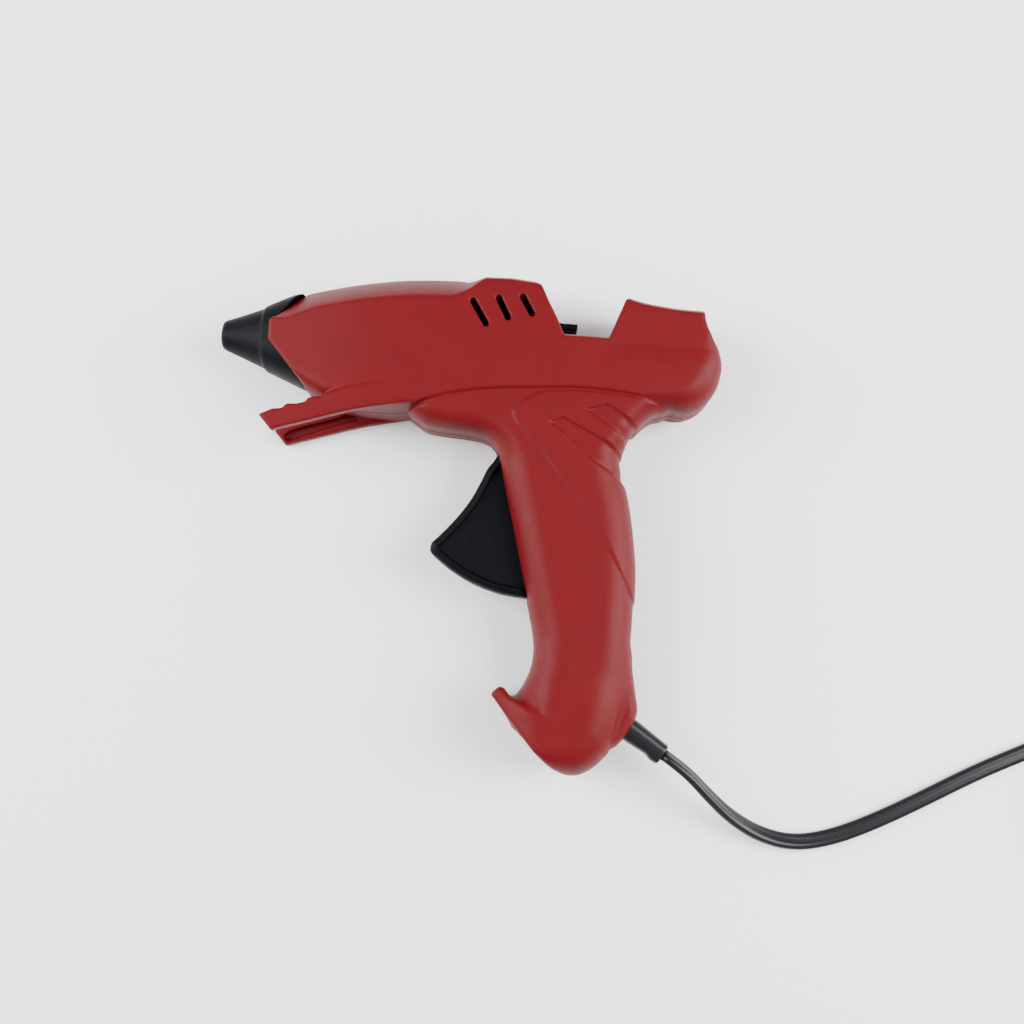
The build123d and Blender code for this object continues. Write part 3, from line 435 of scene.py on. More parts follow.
FIN = outline_field([(-75.1, 30.0), (-70.1, 24.6), *curve_through([(-65.4, 26.3), (-57.0, 29.0),
                     (-46.0, 32.6), (-37.5, 35.0), (-20.2, 38.8)]), (-14.0, 41.5), (-14.0, 47.0),
                     *curve_through([(-24.2, 46.2), (-34.8, 44.2), (-43.2, 42.4), (-51.9, 39.6)]),
                     *curve_through([(-52.5, 38.6), (-57.2, 37.6), (-58.3, 36.2), (-61.5, 35.1),
                                     (-64.9, 34.8), (-66.9, 33.1), (-70.0, 32.6), (-73.0, 31.2)])])
FIN_POCKET = outline_field([*curve_through([(-70.9, 28.5), (-69.6, 26.4), (-65.8, 27.7), (-56.3, 31.7),
                                            (-48.5, 34.6), (-43.4, 36.2), (-42.2, 37.4),
                                            (-43.4, 38.6), (-47.0, 38.0), (-54.0, 35.5),
                                            (-64.5, 32.0), (-68.9, 30.2)])])
FIN_INNER = 14.2                    # the fin's inner face, from the parting plane
FIN_POCKET_DEPTH = 3.0
# The flank is widest along this line, and leans in above it.
CREASE = [(-10.1, 51.6), (7.2, 55.7), (23.0, 58.1), (39.0, 59.4), (51.7, 60.1), (90.0, 59.0)]


def upper_width(x, y):
    """Half width of the upper body."""
    wide = 15.0 + 4.0 * ramp(x, -96, -34)
    above = y - np.interp(x, *zip(*CREASE))
    wide = wide - 0.028 * np.maximum(above, 0) * ramp(x, -30, 0)
    wide = wide - 0.045 * np.maximum(y - 70, 0) * ramp(x, -8, 2) * (1 - ramp(x, 36, 40))
    bulge = 0.9 * np.clip((y - 56) / 10, 0, 1) ** 2
    return wide - bulge * ramp(x, 44, 60)


def upper_rim(x, y):
    """Rounding of the upper body's underside and tail, in from its outline and under its face."""
    barrel = 1 - ramp(x, -30, -12)
    low = 1 - ramp(y, 56, 79)
    bulb = ramp(x, 58, 88) * low
    tail = 0.9 * ramp(x, 74, 84)
    return (np.maximum.reduce([1.4 + tail, 6.0 * barrel, 12.0 * bulb]),
            np.maximum.reduce([1.4 + tail, 7.5 * barrel, 13.0 * bulb]))


CROWN_DROP, CROWN_POWER = 16.0, 1.22        # how far down the side the top bevel goes, and its form
DECK_CROWN, REAR_CROWN = 4.2, 5.0           # width of the top bevel on the deck and on the wing


def upper_form(x, y, z):
    """Barrel, hump, deck, wing and bulb."""
    under = UPPER_WIDTH(x, y) - z
    fore = pillow(FORE_TOP(x, y), under, FORE_CROWN(x, y), CROWN_DROP, CROWN_POWER)
    deck = pillow(DECK_TOP - y, under, DECK_CROWN, CROWN_DROP, CROWN_POWER)
    rear = pillow(REAR_TOP(x, y), under, REAR_CROWN, CROWN_DROP, CROWN_POWER)
    hump, wing = both(fore, HUMP(x, y), 1.6), both(rear, WING(x, y), 1.6)
    top = np.maximum(np.maximum(hump, wing), deck)
    return both(top, pillow(UPPER(x, y), under, RIM_IN(x, y), RIM_UNDER(x, y), 2.2), 0.8)


def lower_round(x, y):
    """Rounding of the grip's edge, tighter towards the bridge."""
    chin = 5.0 * ramp(y, 20, 30) * (1 - ramp(x, 12, 30))
    return np.maximum(chin, 12.0 - 4.0 * ramp(y, 20, 34))


def butt_round(x, y):
    """Rounding of the butt's edge, small on the hook and large on the ball."""
    return 1.8 + 11.0 * ramp(x, 34, 50) + 1.5 * ramp(y, -66, -52)


# Raised panel on the grip's flank and the bridge, and two sunk grip marks in it.
PANEL = outline_field([*curve_through([(18.2, 36.8), (18.9, 39.2), (24.0, 43.7), (29.4, 46.2),
                                       (34.9, 46.9), (48.0, 47.2), (63.8, 46.2), (77.3, 42.6)]),
                       (84.0, 40.0), (90.0, 20.0), (90.0, -22.0), (69.0, -30.5),
                       *curve_through([(66.4, -27.4), (65.1, -24.6), (59.0, -14.1), (53.0, -4.7),
                                       (39.1, 12.1), (31.0, 22.7), (25.1, 28.6), (19.9, 33.5)])])
MARKS = [[(44.9, 40.6), (52.9, 43.0), *curve_through([(58.2, 39.8), (65.9, 34.3), (72.0, 29.0)]),
          (68.0, 24.0), *curve_through([(61.1, 29.1), (58.7, 31.6), (52.2, 35.6)])],
         [(32.0, 34.9), (36.6, 37.1), *curve_through([(43.1, 33.8), (50.7, 30.2), (56.8, 26.6),
                                                      (64.0, 21.0)]), (66.0, 12.0),
          *curve_through([(58.2, 16.4), (51.4, 19.9), (46.8, 22.9), (43.6, 26.0), (37.8, 30.8)])]]
PANEL_RISE, MARK_DEPTH = 0.55, 0.75


def lower_relief(x, y):
    """Height of the panel, less the depth of the marks."""
    height = PANEL_RISE * ramp(PANEL(x, y), -0.6, 0.6)
    for mark in MARKS:
        d = inside_distance(mark, x, y)
        floor = MARK_DEPTH * (0.55 + 0.45 * ramp(d, 4.0, 0.5))
        height = height - floor * ramp(d, -0.5, 0.5)
    return height


UPPER_WIDTH = Flat(upper_width)
RIM_IN, RIM_UNDER = Flat(lambda x, y: upper_rim(x, y)[0]), Flat(lambda x, y: upper_rim(x, y)[1])
FORE_CROWN = Flat(lambda x, y: 11.0 - 6.0 * ramp(x, -9, 5))
LOWER_ROUND, LOWER_RELIEF = Flat(lower_round), Flat(lower_relief)
BUTT_ROUND = Flat(butt_round)
BOSS_FILLET = Flat(lambda x, y: 1.2 + 4.8 * ramp(y, -74, -58))
BUTT_WIDTH = Flat(lambda x, y: 15.6 + 3.1 * ramp(-y, 42, 68) - 4.5 * ramp(-x, -36, -18))
LOWER_WIDTH, BOSS_WIDTH = 17.7, 10.5        # half widths of the grip and of the cord's boss


def outer_form(x, y, z):
    """One half's outside, with z measured out from the parting plane."""
    round_by = LOWER_ROUND(x, y)
    lower = pillow(LOWER(x, y), LOWER_WIDTH - z, round_by, round_by * 1.25, 2.3) + LOWER_RELIEF(x, y)
    round_by = BUTT_ROUND(x, y)
    butt = pillow(BUTT(x, y), BUTT_WIDTH(x, y) - z, round_by, round_by * 1.2, 2.2)
    boss = pillow(BOSS(x, y), BOSS_WIDTH - z, 3.5, 7.5)
    grip = either(either(lower, butt, 2.6), boss, BOSS_FILLET(x, y))
    return both(either(upper_form(x, y, z), grip, 0.9), NOSE(x, y), 0.8)


def fin_form(x, y, z):
    """Front fin, with a pocket inside its rim on the inner face."""
    edge = FIN(x, y)
    face = MID - 0.9 * ramp(x, -38, -19)
    slab = both(both(edge, face - z, 1.1), z - FIN_INNER, 0.9)
    pocket = both(FIN_POCKET(x, y), FIN_INNER + FIN_POCKET_DEPTH - z, 1.0)
    return without(slab, pocket, 0.7)


WALL = 2.2
VENTS = [((0.4, 78.5), (5.8, 70.1)), ((9.9, 80.3), (13.8, 73.0)), ((18.8, 81.4), (22.6, 75.1))]
VENT_R = 1.1
VENT = Flat(lambda x, y: VENT_R - np.minimum.reduce([edge_distance(list(v), x, y, False) for v in VENTS]))
TRIGGER_SLOT = outline_field([(5.0, 24.6), (20.0, 24.6), (36.0, -30.2), (5.0, -30.2)])
SWITCH_WINDOW = outline_field([(29.0, 73.1), (29.0, 76.2), (40.0, 76.2), (40.0, 73.1)])
SCREW_PLACES = [(-44, 76), (68, 79.3), (-6, 37.6), (51, 14), (46, -40), (42, -80)]
SCREW = Flat(lambda x, y: -np.minimum.reduce([np.hypot(x - a, y - b) for a, b in SCREW_PLACES]))
SCREW_BOSS_R, SCREW_HOLE_R, HEAD_HOLE_R = 3.6, 1.6, 3.3
HEAD_DEPTH = 10.0                   # the heads' seats, from the parting plane
MOUTH_R, SEAT_R = 13.7, 9.7         # round the nozzle sleeve and the guide ring
INLET_R, GLAND_R = 6.7, 4.8         # round the glue stick and the strain relief
SLOT_HALF, WINDOW_HALF = 7.4, 5.4   # half widths of the trigger's and the switch's openings
VENT_BOTTOM = 12.0                  # the vents go in to this, from the parting plane


def openings(x, y, z):
    """What both halves leave open."""
    off_axis = np.hypot(y - AXIS_Y, z)
    mouth = both(MOUTH_R - off_axis, -60.6 - x, 0.5)
    seat = both(SEAT_R - off_axis, np.minimum(x - 78.8, 91.6 - x), 0.4)
    inlet = both(INLET_R + np.maximum(x - 93.2, 0) * 0.7 - off_axis, x - 90.0, 0.4)
    slot = both(TRIGGER_SLOT(x, y), SLOT_HALF - z, 0.8)
    window = both(SWITCH_WINDOW(x, y), WINDOW_HALF - z, 0.5)
    along = (x - CORD_EXIT[0]) * CORD_DIR[0] + (y - CORD_EXIT[1]) * CORD_DIR[1]
    aside = (x - CORD_EXIT[0]) * CORD_DIR[1] - (y - CORD_EXIT[1]) * CORD_DIR[0]
    gland = both(GLAND_R - np.hypot(aside, z), along + 12, 0.5)
    vents = both(VENT(x, y), z - VENT_BOTTOM, 0.5)
    cut = mouth
    for hole in (seat, inlet, slot, window, gland, vents):
        cut = np.maximum(cut, hole)
    return cut


RIBS, RIB_HALF = (-57.4, -34.2, -29.2), 0.7     # places along the barrel, and half a thickness
RIB_Y, RIB_REACH, RIB_START = 65.0, 12.0, 10.6  # height, reach from it, and inner end
RAIL_Y, RAIL_HALF, RAIL_WIDTH = 53.0, 1.5, 5.0
RAIL_MID, RAIL_REACH = 27.0, 33.0
WEBS, WEB_REACH = (8.0, 52.0), 2.0
PIVOT = (28.0, 25.0)                            # the trigger's axis
PIVOT_BOSS_R, PIVOT_PIN_R, PIVOT_BOSS_START = 4.6, 2.0, 10.7


def inner_frame(x, y, z):
    """Ribs that hold the saddles, the carriage's rail on its webs, and the trigger's pivot boss."""
    ribs = RIB_HALF - np.minimum.reduce([np.abs(x - rib) for rib in RIBS])
    ribs = np.minimum(np.minimum(ribs, RIB_REACH - np.abs(y - RIB_Y)), z - RIB_START)
    level = RAIL_HALF - np.abs(y - RAIL_Y)
    rail = np.minimum(np.minimum(RAIL_REACH - np.abs(x - RAIL_MID), level), RAIL_WIDTH - z)
    webs = np.minimum(WEB_REACH - np.minimum.reduce([np.abs(x - web) for web in WEBS]), level)
    off_pivot = np.hypot(x - PIVOT[0], y - PIVOT[1])
    boss = np.minimum(np.minimum(PIVOT_BOSS_R - off_pivot, off_pivot - PIVOT_PIN_R), z - PIVOT_BOSS_START)
    return np.maximum(np.maximum(ribs, rail), np.maximum(webs, boss))


def half_shell(x, y, z):
    """Left half of the housing."""
    form = outer_form(x, y, z)
    shell = both(form, WALL - form, 0.7)
    boss = both(both(SCREW(x, y) + SCREW_BOSS_R, form - 0.5, 0.5), 20.0 - z, 0.5)
    shell = either(shell, boss, 0.8)
    shell = either(shell, both(inner_frame(x, y, z), form - 0.8, 0.3), 0.5)
    shell = either(shell, fin_form(x, y, z), 1.0)
    shell = without(shell, openings(x, y, z), 0.6)
    return both(shell, z - 0.03, 0.35)


def right_shell(x, y, z):
    """Right half, with the holes for the screws and their heads."""
    hole = np.maximum(SCREW(x, y) + SCREW_HOLE_R, both(SCREW(x, y) + HEAD_HOLE_R, z - HEAD_DEPTH, 0.4))
    return without(half_shell(x, y, z), hole, 0.5)


MOST_TRIANGLES = 195_000            # in one piece


def thinned(piece):
    """Collapses short edges where the surface is flattest, down to the most triangles allowed."""
    modifier = piece.modifiers.new("thin", "DECIMATE")
    modifier.ratio = min(1, MOST_TRIANGLES / (2 * len(piece.data.polygons)))
    depsgraph = bpy.context.evaluated_depsgraph_get()
    mesh = bpy.data.meshes.new_from_object(piece.evaluated_get(depsgraph), depsgraph=depsgraph)
    piece.modifiers.remove(modifier)
    piece.data = mesh


SHELL_LOW, SHELL_HIGH = (-77.0, -94.5, 0.0), (96.0, 94.5, 19.6)
SHELL_STEP = 0.62


def make_housing():
    """Both halves of the housing."""
    left = solid_piece("left_shell", half_shell, SHELL_LOW, SHELL_HIGH, SHELL_STEP,
                       lambda p: p + [0, 0, MID])
    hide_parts("left_housing")
    right = solid_piece("right_shell", right_shell, SHELL_LOW, SHELL_HIGH, SHELL_STEP,
                        lambda p: p * [1, 1, -1] + [0, 0, MID], flip=True)
    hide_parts("right_housing")
    for half in (left, right):
        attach(half, "housing")
        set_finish(half, "red_plastic")
        thinned(half)


make_housing()

# ---------------------------------------------------------------- nozzle sleeve
SLEEVE_TOP = [(-95.3, 3.2), (-94.6, 5.4), (-93.6, 6.0), (-79.2, 11.2), (-78.2, 12.2), (-68.0, 16.9),
              (-58.0, 19.4)]
SLEEVE_LOW = [(-95.3, 3.2), (-94.6, 4.8), (-93.6, 5.6), (-78.4, 11.5), (-77.4, 12.6), (-62.2, 18.7),
              (-58.0, 19.4)]
SLEEVE_SIDE = [(-95.3, 3.2), (-94.6, 5.0), (-93.6, 5.8), (-79.2, 10.6), (-78.2, 11.4), (-66.0, 14.8),
               (-58.0, 15.4)]
SLEEVE_RABBET = 13.4                # radius of what the housing's mouth goes round
SLEEVE_BORE = [(-93.6, 3.0), (-78.4, 9.0), (-61.2, 9.8)]


def sleeve_solid(x, y, z):
    """Hollow sleeve: round at its tip and squarish where it meets the housing."""
    up, aside = y - AXIS_Y, z - MID
    high = np.where(up > 0, np.interp(x, *zip(*SLEEVE_TOP)), np.interp(x, *zip(*SLEEVE_LOW)))
    wide = np.interp(x, *zip(*SLEEVE_SIDE))
    power = 2.0 + 0.7 * ramp(x, -92, -70)
    s = ((np.abs(up) / high) ** power + (np.abs(aside) / wide) ** power) ** (1 / power)
    skin = (1 - s) * np.minimum(high, wide) * 0.94
    tongue = both(NOSE(x, y) - 0.25, np.abs(aside) - 0.1, 0.4)
    off_axis = np.hypot(up, aside)
    plain = both(np.minimum(skin, SLEEVE_RABBET - off_axis), -61.2 - x, 0.3)
    body = np.maximum(without(skin, tongue, 0.4), plain)
    body = both(both(body, x + 95.2, 0.6), -58.5 - x, 0.4)
    hollow = np.interp(x, *zip(*SLEEVE_BORE)) - off_axis
    return without(body, hollow, 0.5)


# ---------------------------------------------------------------- trigger
LEVER_TOP = (35.29, 62.5)
HUB_R, HUB_HALF, PIN_HOLE_R = 5.6, 8.2, 2.05
ARM_FROM, ARM_TO = 8.0, 10.4        # the lever's two arms, from the gun's middle plane
STUB_R, STUB_FROM, STUB_TO = 1.5, 6.4, 8.6
TRIGGER_FRONT = curve_through([(13.4, 23.4), (12.2, 21.0), (9.8, 17.6), (7.4, 11.8), (4.3, 5.4),
                               (-0.4, -1.6), (-5.9, -8.2), (-8.6, -11.0), (-9.2, -12.8), (-9.1, -14.6),
                               (-7.3, -16.5), (-0.5, -21.3), (7.5, -25.4), (17.4, -28.4), (28.0, -29.6)])
TRIGGER = outline_field([*TRIGGER_FRONT, (33.0, 21.0), (32.6, 28.0), (24.0, 30.4)])
TRIGGER_RIM = Flat(lambda x, y: edge_distance(TRIGGER_FRONT, x, y, False))
RIM_WIDTH, RIM_HALF, WEB_HALF = 3.0, 7.0, 5.0
MARK_PLACE, MARK_R = (7.4, -9.9), 4.4


def trigger_solid(x, y, z):
    """Trigger: a web with a raised rim round its front, and the lever inside the housing."""
    aside = np.abs(z - MID)
    edge, rim = TRIGGER(x, y), TRIGGER_RIM(x, y)
    body = pillow(edge, RIM_HALF - aside, 2.6, 3.2, 2.1)
    mark = 0.3 - np.abs(np.hypot(x - MARK_PLACE[0], y - MARK_PLACE[1]) - MARK_R)
    floor = WEB_HALF - 0.14 * ramp(mark, -0.3, 0.3)
    body = without(body, both(rim - RIM_WIDTH, aside - floor, 0.9), 0.6)
    off_pivot = np.hypot(x - PIVOT[0], y - PIVOT[1])
    hub = both(HUB_R - off_pivot, HUB_HALF - aside, 0.5)
    ex, ey = LEVER_TOP[0] - PIVOT[0], LEVER_TOP[1] - PIVOT[1]
    t = np.clip(((x - PIVOT[0]) * ex + (y - PIVOT[1]) * ey) / (ex * ex + ey * ey), 0, 1)
    bar = 5.2 - 2.0 * t - np.hypot(x - PIVOT[0] - t * ex, y - PIVOT[1] - t * ey)
    arm = both(bar, np.minimum(aside - ARM_FROM, ARM_TO - aside), 0.6)
    stub = both(STUB_R - np.hypot(x - LEVER_TOP[0], y - LEVER_TOP[1]),
                np.minimum(aside - STUB_FROM, STUB_TO - aside), 0.3)
    body = either(either(body, hub, 0.8), np.maximum(arm, stub), 0.6)
    return without(body, PIN_HOLE_R - off_pivot, 0.3)


# ---------------------------------------------------------------- strain relief
RELIEF_HALF = [(-3.0, 4.6), (0.0, 4.5), (15.5, 3.6)]
RELIEF_DEEP = [(-3.0, 4.4), (0.0, 4.3), (15.5, 3.5)]


def relief_solid(x, y, z):
    """Tapered sleeve of oval section, flared on its lower side at its end."""
    along = (x - CORD_EXIT[0]) * CORD_DIR[0] + (y - CORD_EXIT[1]) * CORD_DIR[1]
    across = (x - CORD_EXIT[0]) * CORD_DIR[1] - (y - CORD_EXIT[1]) * CORD_DIR[0]
    aside = z - MID
    half = np.interp(along, *zip(*RELIEF_HALF)) + 0.9 * ramp(across, 0, 3) * ramp(along, 9.5, 13)
    deep = np.interp(along, *zip(*RELIEF_DEEP))
    s = ((np.abs(across) / half) ** 2.5 + (np.abs(aside) / deep) ** 2.5) ** 0.4
    skin = (1 - s) * deep
    tube = both(both(skin, RELIEF_OUT - along, 0.7), along + 2.4, 0.3)
    wide = across * math.cos(CORD_LEAN) + aside * math.sin(CORD_LEAN)
    thick = aside * math.cos(CORD_LEAN) - across * math.sin(CORD_LEAN)
    return without(tube, CORD_T / 2 - 0.1 - np.hypot(np.maximum(np.abs(wide) - 1.2, 0), thick), 0.3)


# ---------------------------------------------------------------- switch slide
SLIDE_TOP, SLIDE_RIB, SLIDE_PITCH = 75.8, 0.22, 1.2     # height, and the ribs' depth and spacing


def switch_solid(x, y, z):
    """Slide: a ribbed thumb bar, and the finger that works the switch inside."""
    aside = np.abs(z - MID)
    wave = np.cos((x - 37.0) * 2 * math.pi / SLIDE_PITCH)
    top = SLIDE_TOP - SLIDE_RIB * ramp(wave, -0.2, 0.6) * ramp(x, 34.3, 34.8)
    bar = both(np.minimum(np.minimum(x - 23.4, 40.2 - x), 5.0 - aside),
               np.minimum(y - 73.4, top - y), 0.5)
    post = np.minimum(np.minimum(x - 23.4, 25.4 - x), np.minimum(y - 74.5, 83.5 - y))
    finger = np.minimum(np.minimum(x - 14.0, 25.4 - x), np.minimum(y - 81.5, 83.5 - y))
    return either(bar, both(np.maximum(post, finger), 1.5 - aside, 0.3), 0.4)


# ---------------------------------------------------------------- plug
PLUG_Y, PLUG_MID = -55.4, 6.85              # the plug's axis, and half its thickness
GRIP_PITCH, GRIP_DEPTH, SEAM_DEPTH = 2.6, 0.45, 0.22
PLUG_SHAPE = [(327.0, -3.4), (331.0, -4.2), (338.0, -8.8), (346.0, -12.0), (356.0, -16.6), (361.0, -17.6),
              (366.5, -17.2), (366.5, 17.2), (361.0, 17.6), (356.0, 16.6), (346.0, 12.0),
              (338.0, 8.8), (331.0, 4.2), (327.0, 3.4)]


def plug_solid(x, y, z):
    """Flat plug with ribbed finger grips on its narrow part."""
    edge = inside_distance(PLUG_SHAPE, x, y - PLUG_Y)
    deep = PLUG_MID - 1.1 * (1 - ramp(x, 333, 352))
    body = pillow(edge, deep - np.abs(z - PLUG_MID), 2.6, 3.0, 2.2)
    wave = np.cos((x - 343.0) * 2 * math.pi / GRIP_PITCH)
    groove = ramp(wave, 0.25, 0.85) * ramp(x, 339, 340) * (1 - ramp(x, 351, 352))
    seam = ramp(0.45 - np.abs(z - PLUG_MID), -0.1, 0.3)
    return body - GRIP_DEPTH * groove - SEAM_DEPTH * seam


# ---------------------------------------------------------------- tie round the coil
TIE_ANGLE = math.radians(-68)
STRAND_R, STRAND_OFF = 0.85, 0.8        # the twisted ends, and how far each is off their axis


def tie_solid(x, y, z):
    """Plastic twist tie: a flat loop round the coil's section, with its ends twisted."""
    cx, cy = COIL_CENTRE
    outward = (x - cx) * math.cos(TIE_ANGLE) + (y - cy) * math.sin(TIE_ANGLE)
    along = -(x - cx) * math.sin(TIE_ANGLE) + (y - cy) * math.cos(TIE_ANGLE)
    u, v = np.abs(outward - (COIL_OUT + COIL_IN) / 2) - 8.4, np.abs(z - 3.9) - 1.6
    ring = np.hypot(np.maximum(u, 0), np.maximum(v, 0)) + np.minimum(np.maximum(u, v), 0)
    loop = both(0.65 - np.abs(ring - 2.9), 2.2 - np.abs(along), 0.5)
    tail_at = outward - (COIL_OUT + 5.6)
    turn = tail_at * 0.75
    sway, lift = STRAND_OFF * np.cos(turn), STRAND_OFF * np.sin(turn)
    strand = np.minimum(np.hypot(along - sway, z - 4.0 - lift), np.hypot(along + sway, z - 4.0 + lift))
    tail = both(STRAND_R - strand, np.minimum(tail_at + 2.6, 15.0 - tail_at), 0.5)
    return both(either(loop, tail, 0.6), z - 0.05, 0.3)


TIE_REACH = np.array([math.cos(TIE_ANGLE), math.sin(TIE_ANGLE)])
TIE_ENDS = np.array([COIL_CENTRE + TIE_REACH * (COIL_IN - 13), COIL_CENTRE + TIE_REACH * (COIL_OUT + 24)])
TIE_LOW, TIE_HIGH = (*(TIE_ENDS.min(0) - 4), 0.0), (*(TIE_ENDS.max(0) + 4), 10.0)


# ---------------------------------------------------------------- rear guide ring
RING_START, RING_END = 79.6, 91.2
RING_R, RING_BORE_R, RING_BEVEL = 9.5, 5.95, 2.6


def ring_solid(x, y, z):
    """Ring with a funnel mouth; its outer end is bevelled to lie inside the housing."""
    off_axis = np.hypot(y - AXIS_Y, z - MID)
    bore = RING_BORE_R + 0.9 * ramp(x, 89.6, RING_END)
    walls = np.minimum(x - RING_START, RING_END - x)
    bevel = (RING_R + RING_END - RING_BEVEL - off_axis - x) * 0.7071
    return both(both(np.minimum(RING_R - off_axis, off_axis - bore), bevel, 0.4), walls, 0.5)


# ---------------------------------------------------------------- pieces
def make_piece(name, solid, low, high, step, rides, slot_name, *replaced):
    """A solid's mesh, as a piece of the assembly."""
    piece = solid_piece(name, solid, low, high, step)
    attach(piece, rides)
    if replaced:
        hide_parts(*replaced)
    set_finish(piece, slot_name)


make_piece("sleeve", sleeve_solid, (-95.3, 43.0, 3.0), (-58.3, 83.0, 35.0), 0.36, "housing",
           "black_nylon", "nozzle_sleeve")
make_piece("trigger_lever", trigger_solid, (-9.6, -30.0, 8.4), (40.0, 67.0, 29.6), 0.45, "trigger",
           "black_nylon", "trigger")
make_piece("relief", relief_solid, (60.0, -90.0, 13.0), (90.0, -65.0, 25.0), 0.25, "housing",
           "cord_pvc", "strain_relief")
make_piece("slide", switch_solid, (13.8, 73.2, 13.8), (40.4, 83.7, 24.2), 0.22, "switch_slide",
           "black_nylon", "switch_slide")
make_piece("plug", plug_solid, (327.0, -74.0, 0.0), (367.0, -37.0, 14.0), 0.4, "housing",
           "plug_plastic", "plug_body")
make_piece("guide_ring", ring_solid, (79.5, 53.0, 9.2), (91.3, 72.6, 28.8), 0.4, "housing",
           "black_nylon", "rear_guide_ring")
make_piece("coil_tie", tie_solid, TIE_LOW, TIE_HIGH, 0.25, "housing", "white_plastic")


# ---------------------------------------------------------------- materials
# Specular levels of metals, of plastics, and of the slots that differ from them.
METAL_SPECULAR, PLASTIC_SPECULAR = 0.5, 0.18
OTHER_SPECULAR = {"black_nylon": 0.09, "cord_pvc": 0.3}
# slot: (base colour, roughness, metallic, grain size in mm, grain depth, mottle)
FINISHES = {
    "red_plastic": ((0.092, 0.0011, 0.0032), 0.50, 0.0, 0.55, 0.11, 0.05),
    "black_nylon": ((0.0016, 0.0017, 0.0030), 0.50, 0.0, 0.5, 0.10, 0.10),
    "steel": ((0.56, 0.57, 0.59), 0.34, 1.0, 0.35, 0.05, 0.08),
    "spring_steel": ((0.36, 0.36, 0.37), 0.30, 1.0, 0.25, 0.05, 0.12),
    "brass": ((0.62, 0.42, 0.14), 0.30, 1.0, 0.4, 0.05, 0.12),
    "cast_aluminium": ((0.50, 0.51, 0.52), 0.48, 1.0, 0.8, 0.22, 0.15),
    "heater_ceramic": ((0.50, 0.27, 0.045), 0.35, 0.0, 0.9, 0.08, 0.12),
    "saddle_board": ((0.56, 0.52, 0.43), 0.78, 0.0, 0.35, 0.25, 0.16),
    "silicone": ((0.42, 0.055, 0.028), 0.55, 0.0, 0.6, 0.06, 0.06),
    "white_plastic": ((0.68, 0.68, 0.65), 0.42, 0.0, 0.5, 0.08, 0.04),
    "lead_brown": ((0.085, 0.030, 0.012), 0.32, 0.0, 0.8, 0.05, 0.08),
    "lead_blue": ((0.014, 0.075, 0.30), 0.32, 0.0, 0.8, 0.05, 0.08),
    "cord_pvc": ((0.0055, 0.006, 0.0075), 0.27, 0.0, 1.4, 0.05, 0.10),
    "plug_plastic": ((0.007, 0.0075, 0.009), 0.36, 0.0, 0.7, 0.08, 0.10),
    "nickel": ((0.64, 0.61, 0.55), 0.20, 1.0, 0.3, 0.03, 0.08),
}


def colour_mix(tree, share, first, second):
    """Socket of a colour between two, by the share that another socket gives."""
    mix = tree.nodes.new("ShaderNodeMix")
    mix.data_type = "RGBA"
    mix.inputs[6].default_value = (*first, 1)
    mix.inputs[7].default_value = (*second, 1)
    tree.links.new(share, mix.inputs[0])
    return mix.outputs[2]


def finish(name):
    """Procedural material of a slot: moulded or worked grain, and a faint change of tone."""
    colour, rough, metal, grain, depth, mottle = FINISHES[name]
    material = bpy.data.materials.new(name)
    material.use_nodes = True
    tree = material.node_tree
    shader = tree.nodes["Principled BSDF"]
    shader.inputs["Roughness"].default_value = rough
    shader.inputs["Metallic"].default_value = metal
    shader.inputs["IOR"].default_value = 1.42
    specular = METAL_SPECULAR if metal else OTHER_SPECULAR.get(name, PLASTIC_SPECULAR)
    shader.inputs["Specular IOR Level"].default_value = specular

    def node(kind, **values):
        """New node with its inputs set."""
        new = tree.nodes.new(kind)
        for key, value in values.items():
            new.inputs[key].default_value = value
        return new

    place = tree.nodes.new("ShaderNodeTexCoord").outputs["Object"]

    def noise(size, detail, roughness):
        """Noise whose blotches are about a size in mm."""
        new = node("ShaderNodeTexNoise", Scale=1000 / size, Detail=detail, Roughness=roughness)
        tree.links.new(place, new.inputs["Vector"])
        return new.outputs["Fac"]

    def spread(value, low, high):
        """A socket's 0 to 1 stretched between two values."""
        new = tree.nodes.new("ShaderNodeMapRange")
        new.inputs["To Min"].default_value, new.inputs["To Max"].default_value = low, high
        tree.links.new(value, new.inputs["Value"])
        return new.outputs["Result"]

    dark, light = [c * (1 - mottle) for c in colour], [min(1, c * (1 + mottle)) for c in colour]
    tone = colour_mix(tree, spread(noise(grain * 22, 3, 0.6), -0.6, 1.6), dark, light)
    tree.links.new(tone, shader.inputs["Base Color"])
    tree.links.new(spread(noise(grain * 9, 4, 0.65), rough * 0.86, rough * 1.16),
                   shader.inputs["Roughness"])
    bump = node("ShaderNodeBump", Strength=depth * 2.2, Distance=0.00009)
    tree.links.new(noise(grain, 3, 0.55), bump.inputs["Height"])
    tree.links.new(bump.outputs["Normal"], shader.inputs["Normal"])
    return material


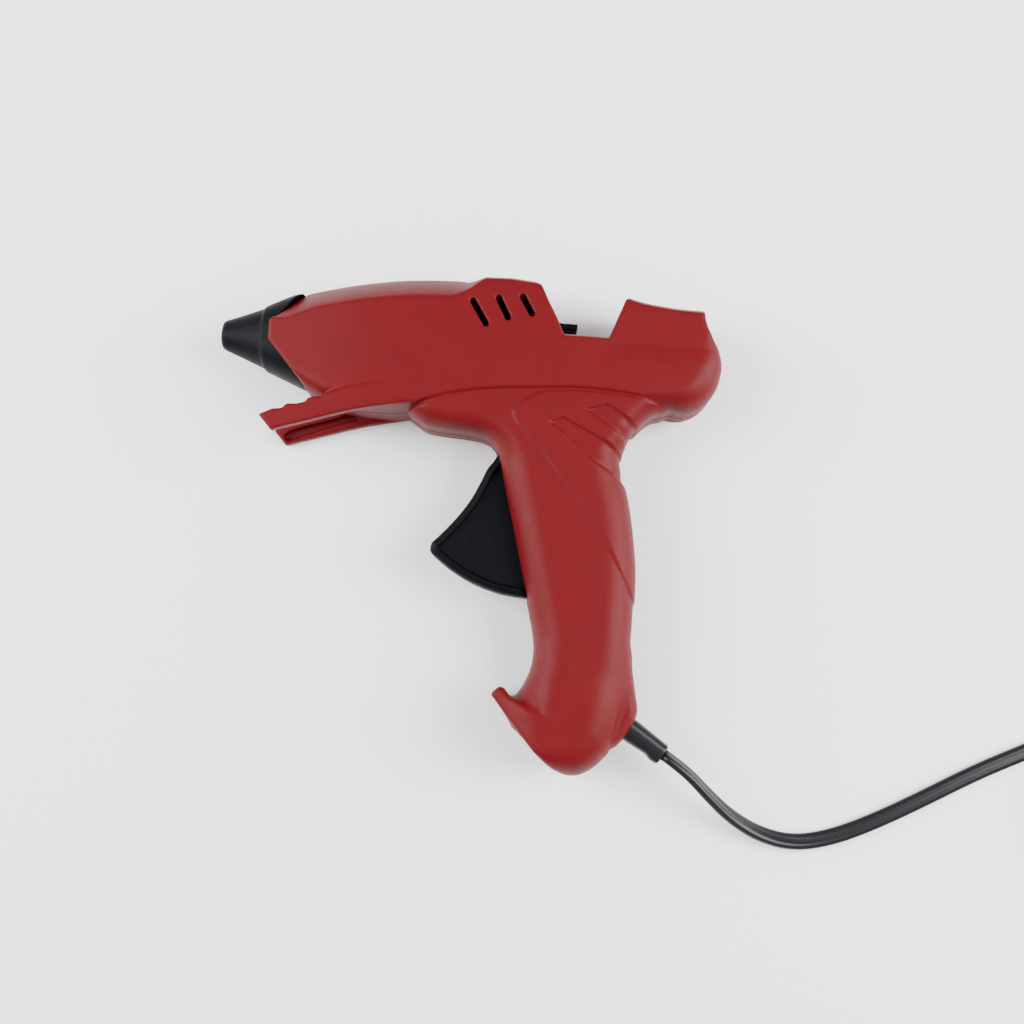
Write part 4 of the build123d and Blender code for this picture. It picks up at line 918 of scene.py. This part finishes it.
materials = {name: finish(name) for name in FINISHES}
NODE_SLOTS = {
    "steel": ("housing_screws", "clamp_screws", "trigger_pin", "jaw_pin", "check_ball", "clamp_jaw"),
    "spring_steel": ("return_spring", "check_spring", "heater_clip", "cuff_clip"),
    "brass": ("brass_nozzle", "cord_cores"),
    "cast_aluminium": ("melt_chamber",),
    "heater_ceramic": ("ptc_heater",),
    "saddle_board": ("front_saddle", "rear_saddle"),
    "silicone": ("inlet_cuff",),
    "white_plastic": ("terminal_block", "cord_clamp"),
    "black_nylon": ("feed_carriage", "switch_body"),
    "lead_brown": ("live_lead", "switched_lead"),
    "lead_blue": ("neutral_lead",),
    "cord_pvc": ("cord_tail",),
    "nickel": ("plug_pins",),
}
for slot_name, names in NODE_SLOTS.items():
    for name in names:
        node_mesh = frame["nodes"][name].data
        node_mesh.materials.clear()
        node_mesh.materials.append(materials[slot_name])
        node_mesh.polygons.foreach_set("material_index", [0] * len(node_mesh.polygons))
for piece in bpy.data.objects:
    if "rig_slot" in piece and piece.type == "MESH" and not piece.data.materials:
        piece.data.materials.append(materials[piece["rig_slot"]])


# ---------------------------------------------------------------- stage and light
def floor_material():
    """Pale paper, with the faintest tone."""
    material = bpy.data.materials.new("paper")
    material.use_nodes = True
    tree = material.node_tree
    shader = tree.nodes["Principled BSDF"]
    shader.inputs["Roughness"].default_value = 0.85
    shader.inputs["Specular IOR Level"].default_value = 0.1
    paper = tree.nodes.new("ShaderNodeTexNoise")
    paper.inputs["Scale"].default_value = 9
    tone = colour_mix(tree, paper.outputs["Fac"], (0.94, 0.94, 0.94), (0.97, 0.97, 0.97))
    tree.links.new(tone, shader.inputs["Base Color"])
    return material


FLOOR = 3       # half of its side, in metres
floor_mesh = bpy.data.meshes.new("floor")
floor_mesh.from_pydata([(-FLOOR, -FLOOR, 0), (FLOOR, -FLOOR, 0), (FLOOR, FLOOR, 0), (-FLOOR, FLOOR, 0)],
                       [], [(0, 1, 2, 3)])
floor_mesh.materials.append(floor_material())
linked("floor", floor_mesh)


def area_light(name, place, size, power, aim=(0.02, 0.0, 0.02)):
    """Softbox aimed at the gun."""
    data = bpy.data.lights.new(name, "AREA")
    data.shape = "RECTANGLE"
    data.size, data.size_y = size
    data.energy = power
    light = linked(name, data)
    light.location = place
    light.rotation_euler = (Vector(aim) - Vector(place)).to_track_quat("-Z", "Y").to_euler()


area_light("left_softbox", (-0.85, 0.10, 0.62), (0.60, 1.2), 28)
area_light("right_softbox", (0.90, 0.10, 0.62), (0.60, 1.2), 34)
world = bpy.data.worlds.new("world")
bpy.context.scene.world = world
world.use_nodes = True
world.node_tree.nodes["Background"].inputs[0].default_value = (1, 1, 1, 1)
world.node_tree.nodes["Background"].inputs[1].default_value = 0.9
